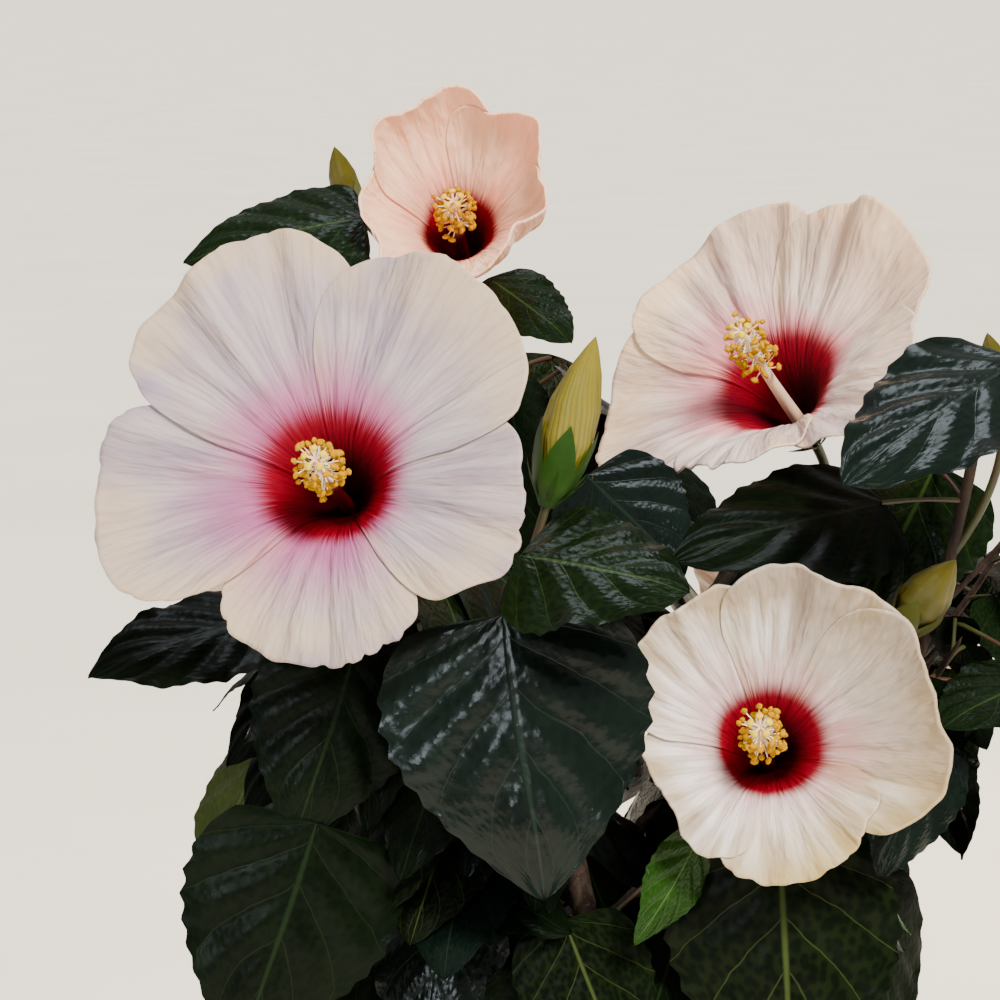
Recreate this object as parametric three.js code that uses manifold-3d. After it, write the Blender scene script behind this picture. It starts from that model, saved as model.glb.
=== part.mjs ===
// A hibiscus shrub in its pot, as an assembly of separate solids: the pot and its soil, the trunk, the
// boughs, the masses of foliage that grow on from them, and each large bloom on its stalk.
// Millimetres, +Z up. The origin is the middle of the pot's underside, and the shrub's shown side faces -Y.
import * as THREE from "three";
import { mergeVertices } from "three/addons/utils/BufferGeometryUtils.js";
import Module from "manifold-3d";

const wasm = await Module();
wasm.setup();

// Pot and soil
const POT_HEIGHT = 150;
const POT_FOOT_RADIUS = 58;
const POT_BODY_RADIUS = 75;
const POT_RIM_RADIUS = 83;
const POT_RIM_DEPTH = 28;
const POT_WALL = 7;
const SOIL_BELOW_RIM = 12;
const POT_EDGE = 3; // the slanted edge of the foot and of the rim
const SOIL_TOP = POT_HEIGHT - SOIL_BELOW_RIM;
const RIM_FOOT = POT_HEIGHT - POT_RIM_DEPTH;
const POT_SIDES = 26;

// Wood
const GAP = 0.3; // left between pieces that meet
const FUSED_SLACK = 0.1; // how far leaving out a needless corner may move a surface
const TRUNK_TOP = [3, -2, 236];
const TRUNK_BEND = [-5, 3, 185];
const TRUNK_SUNK = 6; // how far its curve starts below the soil, before the flat cut
const FLARE_RADIUS = 13;
const FLARE_SHARE = 0.22;
const TRUNK_RADIUS = 8.5;
const TRUNK_TIP_RADIUS = 5.5;
const TRUNK_SIDES = 10;
const TRUNK_STEPS = 7;
const BOUGH_RADIUS = 4.4;
const BOUGH_TIP_RADIUS = 2.9;
const STEM_TIP_RADIUS = 1.7;
const TWIG_RADIUS = 1.5;
const TWIG_TIP_RADIUS = 1;
const LEAF_STALK_RADIUS = 1.1;
const BLOOM_STALK_RADIUS = 1.6;

// Leaves
const LEAF_THICKNESS = 1.1;
const LEAF_STATIONS = [0.12, 0.4, 0.74]; // shares along a leaf
const LEAF_HEART = 0.1; // how far its sides reach back past its foot
const LEAF_SAG = 0.14;
const LEAF_FOLD = 0.16;
const LEAF_SPARE = 0.08; // the share of its size kept free round it
const SHOWN_LEAF_SPARE = 0.02;
const LAST_JOINT = 0.98;
const LEAF_SPACING = 13.5; // between leaves along a stem
const LEAF_TRIES = 12;
const FULL_SIZE_TRIES = 7;
const YOUNG_LEAF = 0.74; // its size, where no full one fits
const TWIG_LEAF = 0.88;
const TWIG_TRIES = 4;
const TWIG_LENGTHS = [26, 52];
const LEAF_TURN = 2.4; // radians from one leaf to the next round a stem
const RETRY_TURN = 1.1;
const LEAF_LENGTHS = [50, 82];
const LEAF_WIDTHS = [0.68, 0.86]; // shares of its length
const LEAF_DROOPS = [36, 84]; // degrees
const LEAF_ROLL = 24;
const STALK_LENGTHS = [16, 34];
const CROWN_TOP = 450;
const CROWN_OUTLINE = [
  [158, 90],
  [230, 124],
  [300, 132],
  [350, 158],
  [410, 164],
  [CROWN_TOP, 126],
  [520, 126],
]; // heights and the crown's radius there
const CROWN_CORE = 125; // inside this radius the leaves turn outward
const SEED = 20;

// Blooms
const PETALS = 5;
const PETAL_THICKNESS = 1;
const PETAL_ROWS = [0, 0.3, 0.55, 0.8, 1];
const PETAL_COLUMNS = [-1, -0.6, 0, 0.6, 1];
const PETAL_BASE_RADIUS = 3;
const PETAL_BASE_HEIGHT = 2;
const PETAL_ANGLE = 360 / PETALS;
const PETAL_WAVE = 0.02; // how far its outline waves
const PETAL_ROUND = 0.18; // how much its very corners are rounded off
const PETAL_NARROWS = 0.1; // how much narrower it is at its base, as a share of its angle
const PETAL_LAP = 2.2; // how far its side stands off its middle where two petals overlap
const PETAL_RUFFLE = 2.2;
const BLOOM_RUFFLES = 7; // round a whole bloom, so that petals that overlap ruffle together
const CALYX_LENGTH = 15;
const PETAL_OPENS = [0.16, 0.6]; // the shares of its length between which a petal turns outward
const PETAL_CLOSES = [0.55, 1.05]; // and those between which it turns in again
const COLUMN_RADII = [2.4, 2.1, 1.9, 5.5, 6.5, 5, 2];
const CALYX_RADII = [1.8, 6.4, 8.4, 8.8];
const BUD_SHAPE = [0.25, 0.85, 1, 0.94, 0.66, 0.1];
const SHOWN_SIDE = [0, -1, 0.14];
const SHOWN_REACH = 260; // how far before a bloom no leaf stands
const SHOWN_SPARE = 3;

// Each shoot runs from its fork, a share of the trunk's height, past its bend to its tip. Its lower part, up
// to the share bare, is the bough. A shoot with bare 0 is a low one, whose stem starts on the trunk itself.
const SHOOTS = [
  { name: "left", fork: 0.62, bend: [-52, -12, 268], tip: [-62, -34, 370], bare: 0.45, twigs: 4 },
  { name: "centre", fork: 0.8, bend: [-56, -38, 262], tip: [-27, -82, 368], bare: 0.45, twigs: 4 },
  { name: "front_right", fork: 0.45, bend: [40, -40, 222], tip: [49, -38, 288], bare: 0.4, twigs: 3 },
  { name: "right", fork: 0.7, bend: [104, -12, 256], tip: [122, -46, 414], bare: 0.45, twigs: 4 },
  { name: "upper_right", fork: 0.98, bend: [50, 30, 268], tip: [80, 30, 352], bare: 0.4, twigs: 6 },
  { name: "top", fork: 0.9, bend: [-14, 58, 300], tip: [-32, 92, 414], bare: 0.45, twigs: 5, ceiling: 492 },
  { name: "back_left", fork: 0.75, bend: [-66, 36, 256], tip: [-76, 56, 330], bare: 0.4, twigs: 5 },
  { name: "back_right", fork: 0.6, bend: [46, 54, 232], tip: [64, 72, 296], bare: 0.4, twigs: 5 },
  { name: "low_left", fork: 0.3, bend: [-52, 2, 200], tip: [-66, -26, 258], bare: 0, twigs: 5 },
  { name: "low_front", fork: 0.36, bend: [-8, -40, 202], tip: [-8, -66, 250], bare: 0, twigs: 4 },
  { name: "low_right", fork: 0.26, bend: [56, 14, 200], tip: [70, 6, 258], bare: 0, twigs: 6 },
  { name: "low_back", fork: 0.4, bend: [-6, 52, 204], tip: [-16, 68, 262], bare: 0, twigs: 6 },
];

// Each bloom sits at seat, at the end of its shoot's stalk, and looks along faces. Its petals are long, leave
// the throat at one angle from that line, open to the edge angle and close again by closes, in degrees.
// first is the first petal's place. leans moves each petal round the bloom by an angle, opens changes its
// edge angle, shares its length, and corners is how much shorter its corners are than its middle. laps is 1
// where it lies over the next one and -1 where it lies under it. No leaf stands before a bloom on the side
// seen, which is the shrub's shown side where none is given.
const BLOOMS = [
  {
    name: "left", on: "left", seat: [-76, -86, 391], faces: [-0.154, -0.9, 0.39],
    long: 80, throat: 25, edge: 82, closes: 0, half: 45, first: 56, leans: [2, -7, -9, -2, 5],
    opens: [3, 0, 2, 6, 0], shares: [1.09, 1.16, 1.07, 0.86, 0.93], corners: [0.26, 0.3, 0.42, 0.12, 0.26],
    laps: [1, 1, 1, -1, -1], column: 57,
  },
  {
    name: "front_right", on: "front_right", seat: [54, -74, 308], faces: [-0.12, -0.9, 0.44],
    long: 66, throat: 27, edge: 68, closes: 36, half: 54, first: 62,
    leans: [-2, -4, 12, 18, 20], opens: [2, -6, -12, 18, 8], shares: [1.08, 0.98, 0.78, 0.82, 1.08],
    corners: [0.16, 0.16, 0.16, 0.16, 0.16], laps: [1, 1, 1, 1, 1], column: 49,
  },
  {
    name: "upper_right", on: "upper_right", seat: [73, 8, 402], faces: [-0.44, -0.63, 0.64],
    long: 72, throat: 25, edge: 80, closes: 8, half: 50, first: 64, leans: [0, -8, -10, 0, 0],
    opens: [-8, 2, 8, -34, -18], shares: [1.12, 1.12, 1.04, 0.88, 1.02],
    corners: [0.24, 0.24, 0.24, 0.24, 0.24], laps: [1, 1, -1, 1, 1], column: 63,
  },
  {
    name: "top", on: "top", seat: [-42, 76, 454], faces: [-0.1, -0.81, 0.58],
    long: 62, throat: 23, edge: 46, closes: 42, half: 62, first: 40, leans: [0, 0, 0, 0, 0],
    opens: [2, 0, -6, 8, 0], shares: [1, 1.04, 0.9, 0.96, 1], corners: [0.16, 0.16, 0.16, 0.16, 0.16],
    laps: [1, 1, -1, 1, 1], column: 42,
  },
  {
    name: "back_left", on: "back_left", seat: [-84, 96, 366], faces: [-0.45, 0.8, 0.4],
    seen: [-0.5, 0.86, 0.14],
    long: 76, throat: 25, edge: 80, closes: 0, half: 46, first: 20, leans: [3, -4, 2, -3, 4],
    opens: [0, 4, -4, 0, 3], shares: [1.02, 0.98, 1.04, 1, 1.02], corners: [0.3, 0.3, 0.3, 0.3, 0.3],
    laps: [1, 1, 1, 1, 1], column: 54,
  },
  {
    name: "back_right", on: "back_right", seat: [76, 108, 297], faces: [0.36, 0.8, 0.48],
    seen: [0.4, 0.9, 0.14],
    long: 70, throat: 26, edge: 72, closes: 14, half: 48, first: 50, leans: [-3, 4, 0, 4, -2],
    opens: [0, -4, 3, 6, 0], shares: [1, 1.02, 0.96, 1, 0.98], corners: [0.26, 0.26, 0.26, 0.26, 0.26],
    laps: [1, -1, 1, 1, 1], column: 52,
  },
];

// Buds, each from its foot to its point, on the stem of a shoot.
const BUDS = [
  { on: "centre", foot: [-16, -95, 393], point: [-1, -95, 445], wide: 18 },
  { on: "right", foot: [94, -66, 348], point: [112, -72, 373], wide: 17 },
  { on: "right", foot: [130, -36, 420], point: [126, -30, 440], wide: 10 },
  { on: "top", foot: [-82, 92, 470], point: [-88, 90, 494], wide: 11 },
  { on: "back_right", foot: [98, 58, 332], point: [110, 64, 362], wide: 13 },
  { on: "back_left", foot: [-70, 96, 372], point: [-68, 108, 408], wide: 12 },
];

// The leaves that the front shows whole, each from the foot of its blade to its tip, with the way its face
// looks.
const SHOWN_LEAVES = [
  { on: "centre", foot: [-29, -115, 363], tip: [-17, -135, 280], wide: 83, face: [-0.05, -0.95, 0.3] },
  { on: "centre", foot: [-24, -120, 382], tip: [25, -146, 377], wide: 53, face: [0.16, -0.68, 0.72] },
  { on: "left", foot: [-74, -93, 350], tip: [-92, -109, 292], wide: 54, face: [0.1, -0.96, 0.16] },
  { on: "left", foot: [-98, -70, 356], tip: [-156, -98, 343], wide: 44, face: [-0.1, -0.6, 0.8] },
  { on: "low_left", foot: [-86, -106, 297], tip: [-109, -118, 226], wide: 68, face: [0.12, -0.96, 0.12] },
  { on: "low_left", foot: [-107, -4, 301], tip: [-130, -24, 251], wide: 38, face: [-0.6, -0.7, 0.35] },
  { on: "front_right", foot: [57, -88, 286], tip: [59, -103, 204], wide: 74, face: [0, -0.97, 0.2] },
  { on: "front_right", foot: [106, -74, 318], tip: [88, -98, 278], wide: 34, face: [0.3, -0.8, 0.45] },
  { on: "right", foot: [130, -76, 436], tip: [72, -120, 406], wide: 60, face: [-0.1, -0.55, 0.8] },
  { on: "right", foot: [112, -16, 396], tip: [86, -34, 346], wide: 54, face: [-0.1, -0.96, 0.2] },
  { on: "right", foot: [144, -56, 334], tip: [106, -92, 326], wide: 42, face: [0.1, -0.3, 0.95] },
  { on: "right", foot: [92, -50, 388], tip: [24, -80, 377], wide: 56, face: [0, -0.56, 0.82] },
  { on: "upper_right", foot: [-2, -30, 394], tip: [28, -56, 366], wide: 44, face: [-0.2, -0.8, 0.6] },
  { on: "top", foot: [-76, 48, 472], tip: [-138, 44, 459], wide: 50, face: [-0.1, -0.6, 0.8] },
  { on: "top", foot: [-34, 40, 452], tip: [-6, 14, 434], wide: 34, face: [0.3, -0.75, 0.6] },
  { on: "low_front", foot: [31, -95, 289], tip: [12, -112, 260], wide: 22, face: [0.75, -0.3, 0.6] },
  { on: "low_front", foot: [-10, -88, 262], tip: [10, -106, 212], wide: 44, face: [0.1, -0.95, 0.3] },
  { on: "low_front", foot: [-52, -68, 276], tip: [-8, -98, 262], wide: 38, face: [0.1, -0.6, 0.8] },
];

// The finish of each kind of piece, or of a piece by its own name.
const FINISHES = {
  pot: { color: 0xb4694a, roughness: 0.85 },
  soil: { color: 0x2c211a, roughness: 1 },
  wood: { color: 0x5a4636, roughness: 0.9 },
  foliage: { color: 0x12351a, roughness: 0.35 },
  blooms: { color: 0xf1e2da, roughness: 0.6 },
};

const UP = new THREE.Vector3(0, 0, 1);
const vector = (xyz) => new THREE.Vector3(...xyz);
const mix = (a, b, share) => a + (b - a) * share;
const degrees = THREE.MathUtils.degToRad;

// Seeded draws from 0 to 1.
function makeDraws(seed) {
  let state = seed;
  return () => {
    state = (state * 1664525 + 1013904223) % 4294967296;
    return state / 4294967296;
  };
}

// A solid from its points and its triangles, which share those points.
function solidOf(points, faces) {
  const geometry = new THREE.BufferGeometry().setFromPoints(points);
  return new wasm.Manifold(
    new wasm.Mesh({
      numProp: 3,
      vertProperties: geometry.getAttribute("position").array,
      triVerts: new Uint32Array(faces),
    }),
  );
}

// A solid of revolution from its closed profile of radii and heights.
function turned(profile, sides) {
  const geometry = new THREE.LatheGeometry(
    profile.map(([radius, height]) => new THREE.Vector2(radius, height)),
    sides,
  );
  geometry.rotateX(Math.PI / 2);
  geometry.deleteAttribute("normal");
  geometry.deleteAttribute("uv");
  const merged = mergeVertices(geometry, 1e-3);
  return new wasm.Manifold(
    new wasm.Mesh({
      numProp: 3,
      vertProperties: merged.getAttribute("position").array,
      triVerts: new Uint32Array(merged.index.array),
    }),
  );
}

// A limb of round section along a curve, with its radius given along it.
function limb(curve, radiusAt, sides, steps) {
  const points = [];
  const faces = [];
  const across = new THREE.Vector3(1, 0.3, 0.2);
  for (let i = 0; i <= steps; i++) {
    const share = i / steps;
    const centre = curve.getPoint(share);
    const tangent = curve.getTangent(share);
    across.addScaledVector(tangent, -across.dot(tangent)).normalize();
    const other = tangent.clone().cross(across);
    for (let k = 0; k < sides; k++) {
      const angle = (2 * Math.PI * k) / sides;
      points.push(
        centre
          .clone()
          .addScaledVector(across, Math.cos(angle) * radiusAt(share))
          .addScaledVector(other, Math.sin(angle) * radiusAt(share)),
      );
    }
  }
  for (let i = 0; i < steps; i++)
    for (let k = 0; k < sides; k++) {
      const a = i * sides + k;
      const b = i * sides + ((k + 1) % sides);
      faces.push(a, b, b + sides, a, b + sides, a + sides);
    }
  const end = steps * sides;
  for (let k = 1; k < sides - 1; k++) {
    faces.push(0, k + 1, k);
    faces.push(end, end + k, end + k + 1);
  }
  return solidOf(points, faces);
}

// A straight limb from start to end, with its radii given at equal steps.
function stepped(start, end, radii, size, sides) {
  const steps = radii.length - 1;
  const radiusAt = (share) => size * radii[Math.round(share * steps)];
  return limb(new THREE.LineCurve3(start, end), radiusAt, sides, steps);
}

// A thin blade between its two faces, which meet at the rim. middle(i, j) is a point of its middle face, and
// lift(i, j) is the half thickness there as a vector.
function blade(rows, columns, middle, lift) {
  const points = [];
  const top = [];
  const under = [];
  for (let i = 0; i < rows; i++)
    for (let j = 0; j < columns; j++) {
      const point = middle(i, j);
      const rim = i === 0 || i === rows - 1 || j === 0 || j === columns - 1;
      const raised = rim ? point : point.clone().add(lift(i, j));
      top.push(points.push(raised) - 1);
      under.push(rim ? top.at(-1) : points.push(point.clone().sub(lift(i, j))) - 1);
    }
  const faces = [];
  for (let i = 0; i < rows - 1; i++)
    for (let j = 0; j < columns - 1; j++) {
      const first = i * columns + j;
      const corners = [first, first + 1, first + columns + 1, first + columns];
      const [a, b, c, d] = corners.map((corner) => top[corner]);
      const [e, f, g, h] = corners.map((corner) => under[corner]);
      faces.push(a, c, b, a, d, c);
      faces.push(e, f, g, e, g, h);
    }
  return solidOf(points, faces);
}

// The largest body of a solid, with what fusing sealed inside it filled and its needless corners left out.
function wholeOf(solid) {
  const bodies = solid.decompose().filter((body) => body.volume() > 0);
  const whole = bodies.reduce((largest, body) => (body.volume() > largest.volume() ? body : largest));
  return whole.asOriginal().simplify(FUSED_SLACK);
}

const boxOf = (solid) => {
  const { min, max } = solid.boundingBox();
  return new THREE.Box3(vector(min), vector(max));
};

// A solid kept with its box.
const boxed = (solid, facts) => ({ solid, box: boxOf(solid), ...facts });

// Whether a solid touches any of the others.
function touches(solid, others) {
  const box = boxOf(solid);
  return others.some(
    (other) => box.intersectsBox(other.box) && solid.intersect(other.solid).volume() > 1e-6,
  );
}

// Pot and soil
function makePot() {
  return turned(
    [
      [0, 0],
      [POT_FOOT_RADIUS - POT_EDGE, 0],
      [POT_FOOT_RADIUS, POT_EDGE],
      [POT_BODY_RADIUS, RIM_FOOT],
      [POT_RIM_RADIUS - POT_EDGE, RIM_FOOT],
      [POT_RIM_RADIUS, POT_HEIGHT - POT_EDGE],
      [POT_RIM_RADIUS - POT_EDGE, POT_HEIGHT],
      [POT_RIM_RADIUS - POT_WALL, POT_HEIGHT],
      [POT_BODY_RADIUS - POT_WALL, RIM_FOOT],
      [POT_FOOT_RADIUS - POT_WALL, POT_WALL],
      [0, POT_WALL],
    ],
    POT_SIDES,
  );
}

function makeSoil() {
  const inside = POT_WALL + 1.5 * GAP;
  const topRadius = mix(POT_BODY_RADIUS, POT_RIM_RADIUS, 1 - SOIL_BELOW_RIM / POT_RIM_DEPTH) - inside;
  return turned(
    [
      [0, POT_WALL + GAP],
      [POT_FOOT_RADIUS - inside, POT_WALL + GAP],
      [POT_BODY_RADIUS - inside, RIM_FOOT],
      [topRadius, SOIL_TOP],
      [0, SOIL_TOP],
    ],
    POT_SIDES,
  );
}

// Wood
const trunkCurve = new THREE.QuadraticBezierCurve3(
  new THREE.Vector3(0, 0, SOIL_TOP - TRUNK_SUNK),
  vector(TRUNK_BEND),
  vector(TRUNK_TOP),
);
const trunkRadius = (share) =>
  mix(TRUNK_RADIUS, TRUNK_TIP_RADIUS, share) +
  (FLARE_RADIUS - TRUNK_RADIUS) * Math.max(0, 1 - share / FLARE_SHARE) ** 2;

const shootCurve = (shoot) =>
  new THREE.QuadraticBezierCurve3(trunkCurve.getPoint(shoot.fork), vector(shoot.bend), vector(shoot.tip));
const shootRadius = (shoot, share) =>
  shoot.bare > share
    ? mix(BOUGH_RADIUS, BOUGH_TIP_RADIUS, share / shoot.bare)
    : mix(BOUGH_TIP_RADIUS, STEM_TIP_RADIUS, (share - shoot.bare) / (1 - shoot.bare));

// The part of a curve between two shares of it.
class Stretch extends THREE.Curve {
  constructor(curve, from, to) {
    super();
    Object.assign(this, { curve, from, to });
  }
  getPoint(share) {
    return this.curve.getPoint(mix(this.from, this.to, share));
  }
}

// Leaves
function halfWidth(leaf, along) {
  return (leaf.wide / 2) * Math.sin(Math.PI * along ** 0.62) ** 0.8;
}

// A point of a leaf's middle face: along it from 0 to 1, and across it from -1 to 1.
function leafPoint(leaf, along, across) {
  const half = along <= 0 || along >= 1 ? 0 : halfWidth(leaf, along);
  const back = LEAF_HEART * across ** 2 * (1 - along) ** 3 * Math.min(1, along / 0.1);
  const crest = LEAF_STATIONS[1];
  const bow = LEAF_SAG * leaf.long * ((along - crest) ** 2 - crest ** 2);
  const sag = bow + LEAF_FOLD * Math.abs(across) * half;
  return leaf.foot
    .clone()
    .addScaledVector(leaf.axis, leaf.long * (along - back))
    .addScaledVector(leaf.side, across * half)
    .addScaledVector(leaf.face, -sag);
}

// A leaf with its foot, the way its blade runs and the way its face looks.
function makeLeaf(foot, axis, face, long, wide) {
  const straight = axis.clone().normalize();
  const square = face.clone().addScaledVector(straight, -face.dot(straight)).normalize();
  return { foot, axis: straight, face: square, side: straight.clone().cross(square), long, wide };
}

// A solid from sections of four points each, from the first to a point at the end.
function lofted(sections, end) {
  const points = [...sections.flat(), end];
  const faces = [0, 2, 1, 0, 3, 2];
  const last = sections.length - 1;
  sections.slice(1).forEach((_, i) => {
    for (let k = 0; k < 4; k++) {
      const [a, b] = [4 * i + k, 4 * i + ((k + 1) % 4)];
      faces.push(a, b, b + 4, a, b + 4, a + 4);
    }
  });
  for (let k = 0; k < 4; k++) faces.push(4 * last + k, 4 * last + ((k + 1) % 4), 4 * sections.length);
  return solidOf(points, faces);
}

// A four-cornered section round a point, its corners to the left, above, to the right and below.
const section = (point, side, face, half, thick) => [
  point.clone().addScaledVector(side, -half),
  point.clone().addScaledVector(face, thick),
  point.clone().addScaledVector(side, half),
  point.clone().addScaledVector(face, -thick),
];

// The blade's own sections: its rim on either side, and its middle thickness above and below.
function bladeSections(leaf, thickness) {
  return LEAF_STATIONS.map((along) => {
    const [left, middle, right] = [-1, 0, 1].map((across) => leafPoint(leaf, along, across));
    const [, above, , below] = section(middle, leaf.side, leaf.face, 0, thickness / 2);
    return [left, above, right, below];
  });
}

// The space that a leaf's blade needs: thicker than the blade, and larger by a share of its size.
function leafSpace(leaf, spare) {
  const foot = leaf.foot.clone().addScaledVector(leaf.axis, (-spare * leaf.long) / 2);
  const large = { ...leaf, foot, long: (1 + spare) * leaf.long, wide: (1 + spare) * leaf.wide };
  const start = section(leafPoint(large, 0, 0), leaf.side, leaf.face, 1, 1);
  return lofted([start, ...bladeSections(large, 3 * LEAF_THICKNESS)], leafPoint(large, 1, 0));
}

// The sections of a leaf's stalk, from the middle of its stem to the foot of its blade.
function stalkSections(root, leaf, radius) {
  const way = leaf.foot.clone().sub(root).normalize();
  const side = leaf.side.clone().addScaledVector(way, -leaf.side.dot(way));
  if (side.length() < 0.2) side.copy(leaf.face).addScaledVector(way, -leaf.face.dot(way));
  side.normalize();
  const face = side.clone().cross(way);
  const end = leafPoint(leaf, 0, 0);
  return [
    section(root, side, face, radius, radius),
    section(end, leaf.side, leaf.face, radius, radius),
  ];
}

// A leaf that the rule gives a stem at one of its joints.
function ruledLeaf(root, tangent, turn, draws, size) {
  const first = tangent.clone().cross(UP).normalize();
  const second = tangent.clone().cross(first);
  const outward = new THREE.Vector3(root.x, root.y, 0).normalize();
  const way = first
    .multiplyScalar(Math.cos(turn))
    .addScaledVector(second, Math.sin(turn))
    .multiplyScalar(0.8)
    .addScaledVector(outward, 0.9 * Math.max(0, 1 - Math.hypot(root.x, root.y) / CROWN_CORE))
    .addScaledVector(UP, 0.25)
    .normalize();
  const stalk = mix(...STALK_LENGTHS, draws()) * size;
  const long = mix(...LEAF_LENGTHS, draws()) * size;
  const wide = mix(...LEAF_WIDTHS, draws()) * long;
  const droop = degrees(mix(...LEAF_DROOPS, draws()));
  const roll = degrees(mix(-LEAF_ROLL, LEAF_ROLL, draws()));
  const heading = new THREE.Vector3(way.x, way.y, 0).normalize();
  const axis = heading.clone().multiplyScalar(Math.cos(droop)).addScaledVector(UP, -Math.sin(droop));
  const face = heading
    .clone()
    .multiplyScalar(Math.sin(droop))
    .addScaledVector(UP, Math.cos(droop))
    .applyAxisAngle(axis, roll);
  return makeLeaf(root.clone().addScaledVector(way, stalk), axis, face, long, wide);
}

function crownRadius(height) {
  const next = CROWN_OUTLINE.findIndex(([level]) => level > height);
  if (next < 1) return 0;
  const [[foot, narrow], [head, wide]] = CROWN_OUTLINE.slice(next - 1, next + 1);
  return mix(narrow, wide, (height - foot) / (head - foot));
}

// The crown's own space: inside its outline, above the rim, and off each bloom's open side.
function outsideCrown(point, ceiling) {
  if (point.z > ceiling || Math.hypot(point.x, point.y) > crownRadius(point.z)) return true;
  return blooms.some((bloom) => {
    const offset = point.clone().sub(bloom.seat);
    return [bloom.faces, bloom.seen].some((way) => {
      const ahead = offset.dot(way);
      const aside = offset.clone().addScaledVector(way, -ahead).length();
      return ahead > 0 && ahead < SHOWN_REACH && aside < bloom.spread + SHOWN_SPARE;
    });
  });
}

// Blooms
// How much a bloom's edge angle changes at a place round it, counted in petals: by each petal's own change at
// its middle, with a smooth passage between two.
function opensAt(bloom, place) {
  const petal = Math.floor(place);
  const [here, next] = [petal, petal + 1].map((each) => bloom.opens[(each + PETALS) % PETALS]);
  return mix(here, next, THREE.MathUtils.smoothstep(place, petal, petal + 1));
}

function bloomAngle(bloom, place, reach) {
  const opened = THREE.MathUtils.smoothstep(reach, ...PETAL_OPENS);
  const closed = THREE.MathUtils.smoothstep(reach, ...PETAL_CLOSES);
  return degrees(mix(bloom.throat, bloom.edge + opensAt(bloom, place), opened) - bloom.closes * closed);
}

// A bloom's radius and height above its seat, at a place round it and a reach out along its petals.
function petalProfile(bloom, place, reach) {
  const steps = 12;
  const step = (bloom.long * reach) / steps;
  let radius = PETAL_BASE_RADIUS;
  let height = PETAL_BASE_HEIGHT;
  for (let i = 0; i < steps; i++) {
    const angle = bloomAngle(bloom, place, (reach * (i + 0.5)) / steps);
    radius += Math.sin(angle) * step;
    height += Math.cos(angle) * step;
  }
  return { radius, height };
}

// A point of a petal and the way its face looks there: out from 0 to 1, and across from -1 to 1.
function petalPoint(bloom, petal, out, across) {
  const off = Math.abs(across);
  const wave = PETAL_WAVE * Math.cos(6 * across + 2 * petal);
  const outline = 1 - bloom.corners[petal] * off ** 3 - PETAL_ROUND * off ** 10 + wave;
  const reach = bloom.shares[petal] * out * outline;
  const half = bloom.half * (1 - PETAL_NARROWS * (1 - reach));
  const place = petal + (bloom.leans[petal] + across * half) / PETAL_ANGLE;
  const turn = degrees(bloom.first + PETAL_ANGLE * place);
  const { radius, height } = petalProfile(bloom, place, reach);
  const tilt = bloomAngle(bloom, place, reach);
  const ray = bloom.right
    .clone()
    .multiplyScalar(Math.cos(turn))
    .addScaledVector(bloom.over, Math.sin(turn));
  const face = ray.clone().multiplyScalar(-Math.cos(tilt)).addScaledVector(bloom.faces, Math.sin(tilt));
  const over = across > 0 ? bloom.laps[petal] : -bloom.laps[(petal + PETALS - 1) % PETALS];
  const ruffle = PETAL_RUFFLE * reach ** 3 * Math.sin(BLOOM_RUFFLES * turn);
  const lift = PETAL_LAP * over * across ** 2 * reach + ruffle;
  const point = bloom.seat.clone().addScaledVector(ray, radius).addScaledVector(bloom.faces, height);
  return { point: point.addScaledVector(face, lift), face };
}

function makePetal(bloom, petal) {
  const at = (i, j) => petalPoint(bloom, petal, PETAL_ROWS[i], PETAL_COLUMNS[j]);
  return blade(
    PETAL_ROWS.length,
    PETAL_COLUMNS.length,
    (i, j) => at(i, j).point,
    (i, j) => at(i, j).face.multiplyScalar(PETAL_THICKNESS / 2),
  );
}

// The column in the middle of a bloom, with its brush of anthers round the outer part.
function makeColumn(bloom) {
  const end = bloom.seat.clone().addScaledVector(bloom.faces, bloom.column);
  return stepped(bloom.seat, end, COLUMN_RADII, 1, 7);
}

function makeCalyx(bloom) {
  const start = bloom.seat.clone().addScaledVector(bloom.faces, -4);
  const end = start.clone().addScaledVector(bloom.faces, CALYX_LENGTH);
  return stepped(start, end, CALYX_RADII, 1, 8);
}

function makeBloomStalk(bloom, stem) {
  const onward = stem.getTangent(1);
  const start = stem.getPoint(1).addScaledVector(onward, GAP);
  const reach = start.distanceTo(bloom.seat) / 3;
  const rise = start.clone().addScaledVector(onward, reach);
  const bend = bloom.seat.clone().addScaledVector(bloom.faces, -reach);
  return limb(new THREE.CubicBezierCurve3(start, rise, bend, bloom.seat), () => BLOOM_STALK_RADIUS, 5, 5);
}

function makeBloom(bloom, stem) {
  const petals = Array.from({ length: PETALS }, (_, petal) => makePetal(bloom, petal));
  const parts = [makeBloomStalk(bloom, stem), makeCalyx(bloom), makeColumn(bloom), ...petals];
  return wholeOf(wasm.Manifold.union(parts));
}

const blooms = BLOOMS.map((bloom) => {
  const faces = vector(bloom.faces).normalize();
  const right = UP.clone().cross(faces).normalize();
  const made = {
    ...bloom,
    faces,
    right,
    over: faces.clone().cross(right),
    seat: vector(bloom.seat),
    seen: vector(bloom.seen || SHOWN_SIDE).normalize(),
  };
  made.spread = Math.max(...bloom.shares.map((share, petal) => petalProfile(made, petal, share).radius));
  return made;
});

// A bud: calyx below, furled petals above.
const makeBud = (bud) => stepped(vector(bud.foot), vector(bud.point), BUD_SHAPE, bud.wide / 2, 7);

function budStalk(bud, stem) {
  const foot = vector(bud.foot);
  const root = stem.getPoint(nearestShare(stem, foot, 0.75));
  const along = vector(bud.point).sub(foot).normalize();
  const span = foot.distanceTo(root);
  const bend = foot.clone().addScaledVector(along, -0.45 * span);
  const end = foot.clone().addScaledVector(along, 2);
  return limb(new THREE.QuadraticBezierCurve3(root, bend, end), () => TWIG_RADIUS, 4, 3);
}

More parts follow.
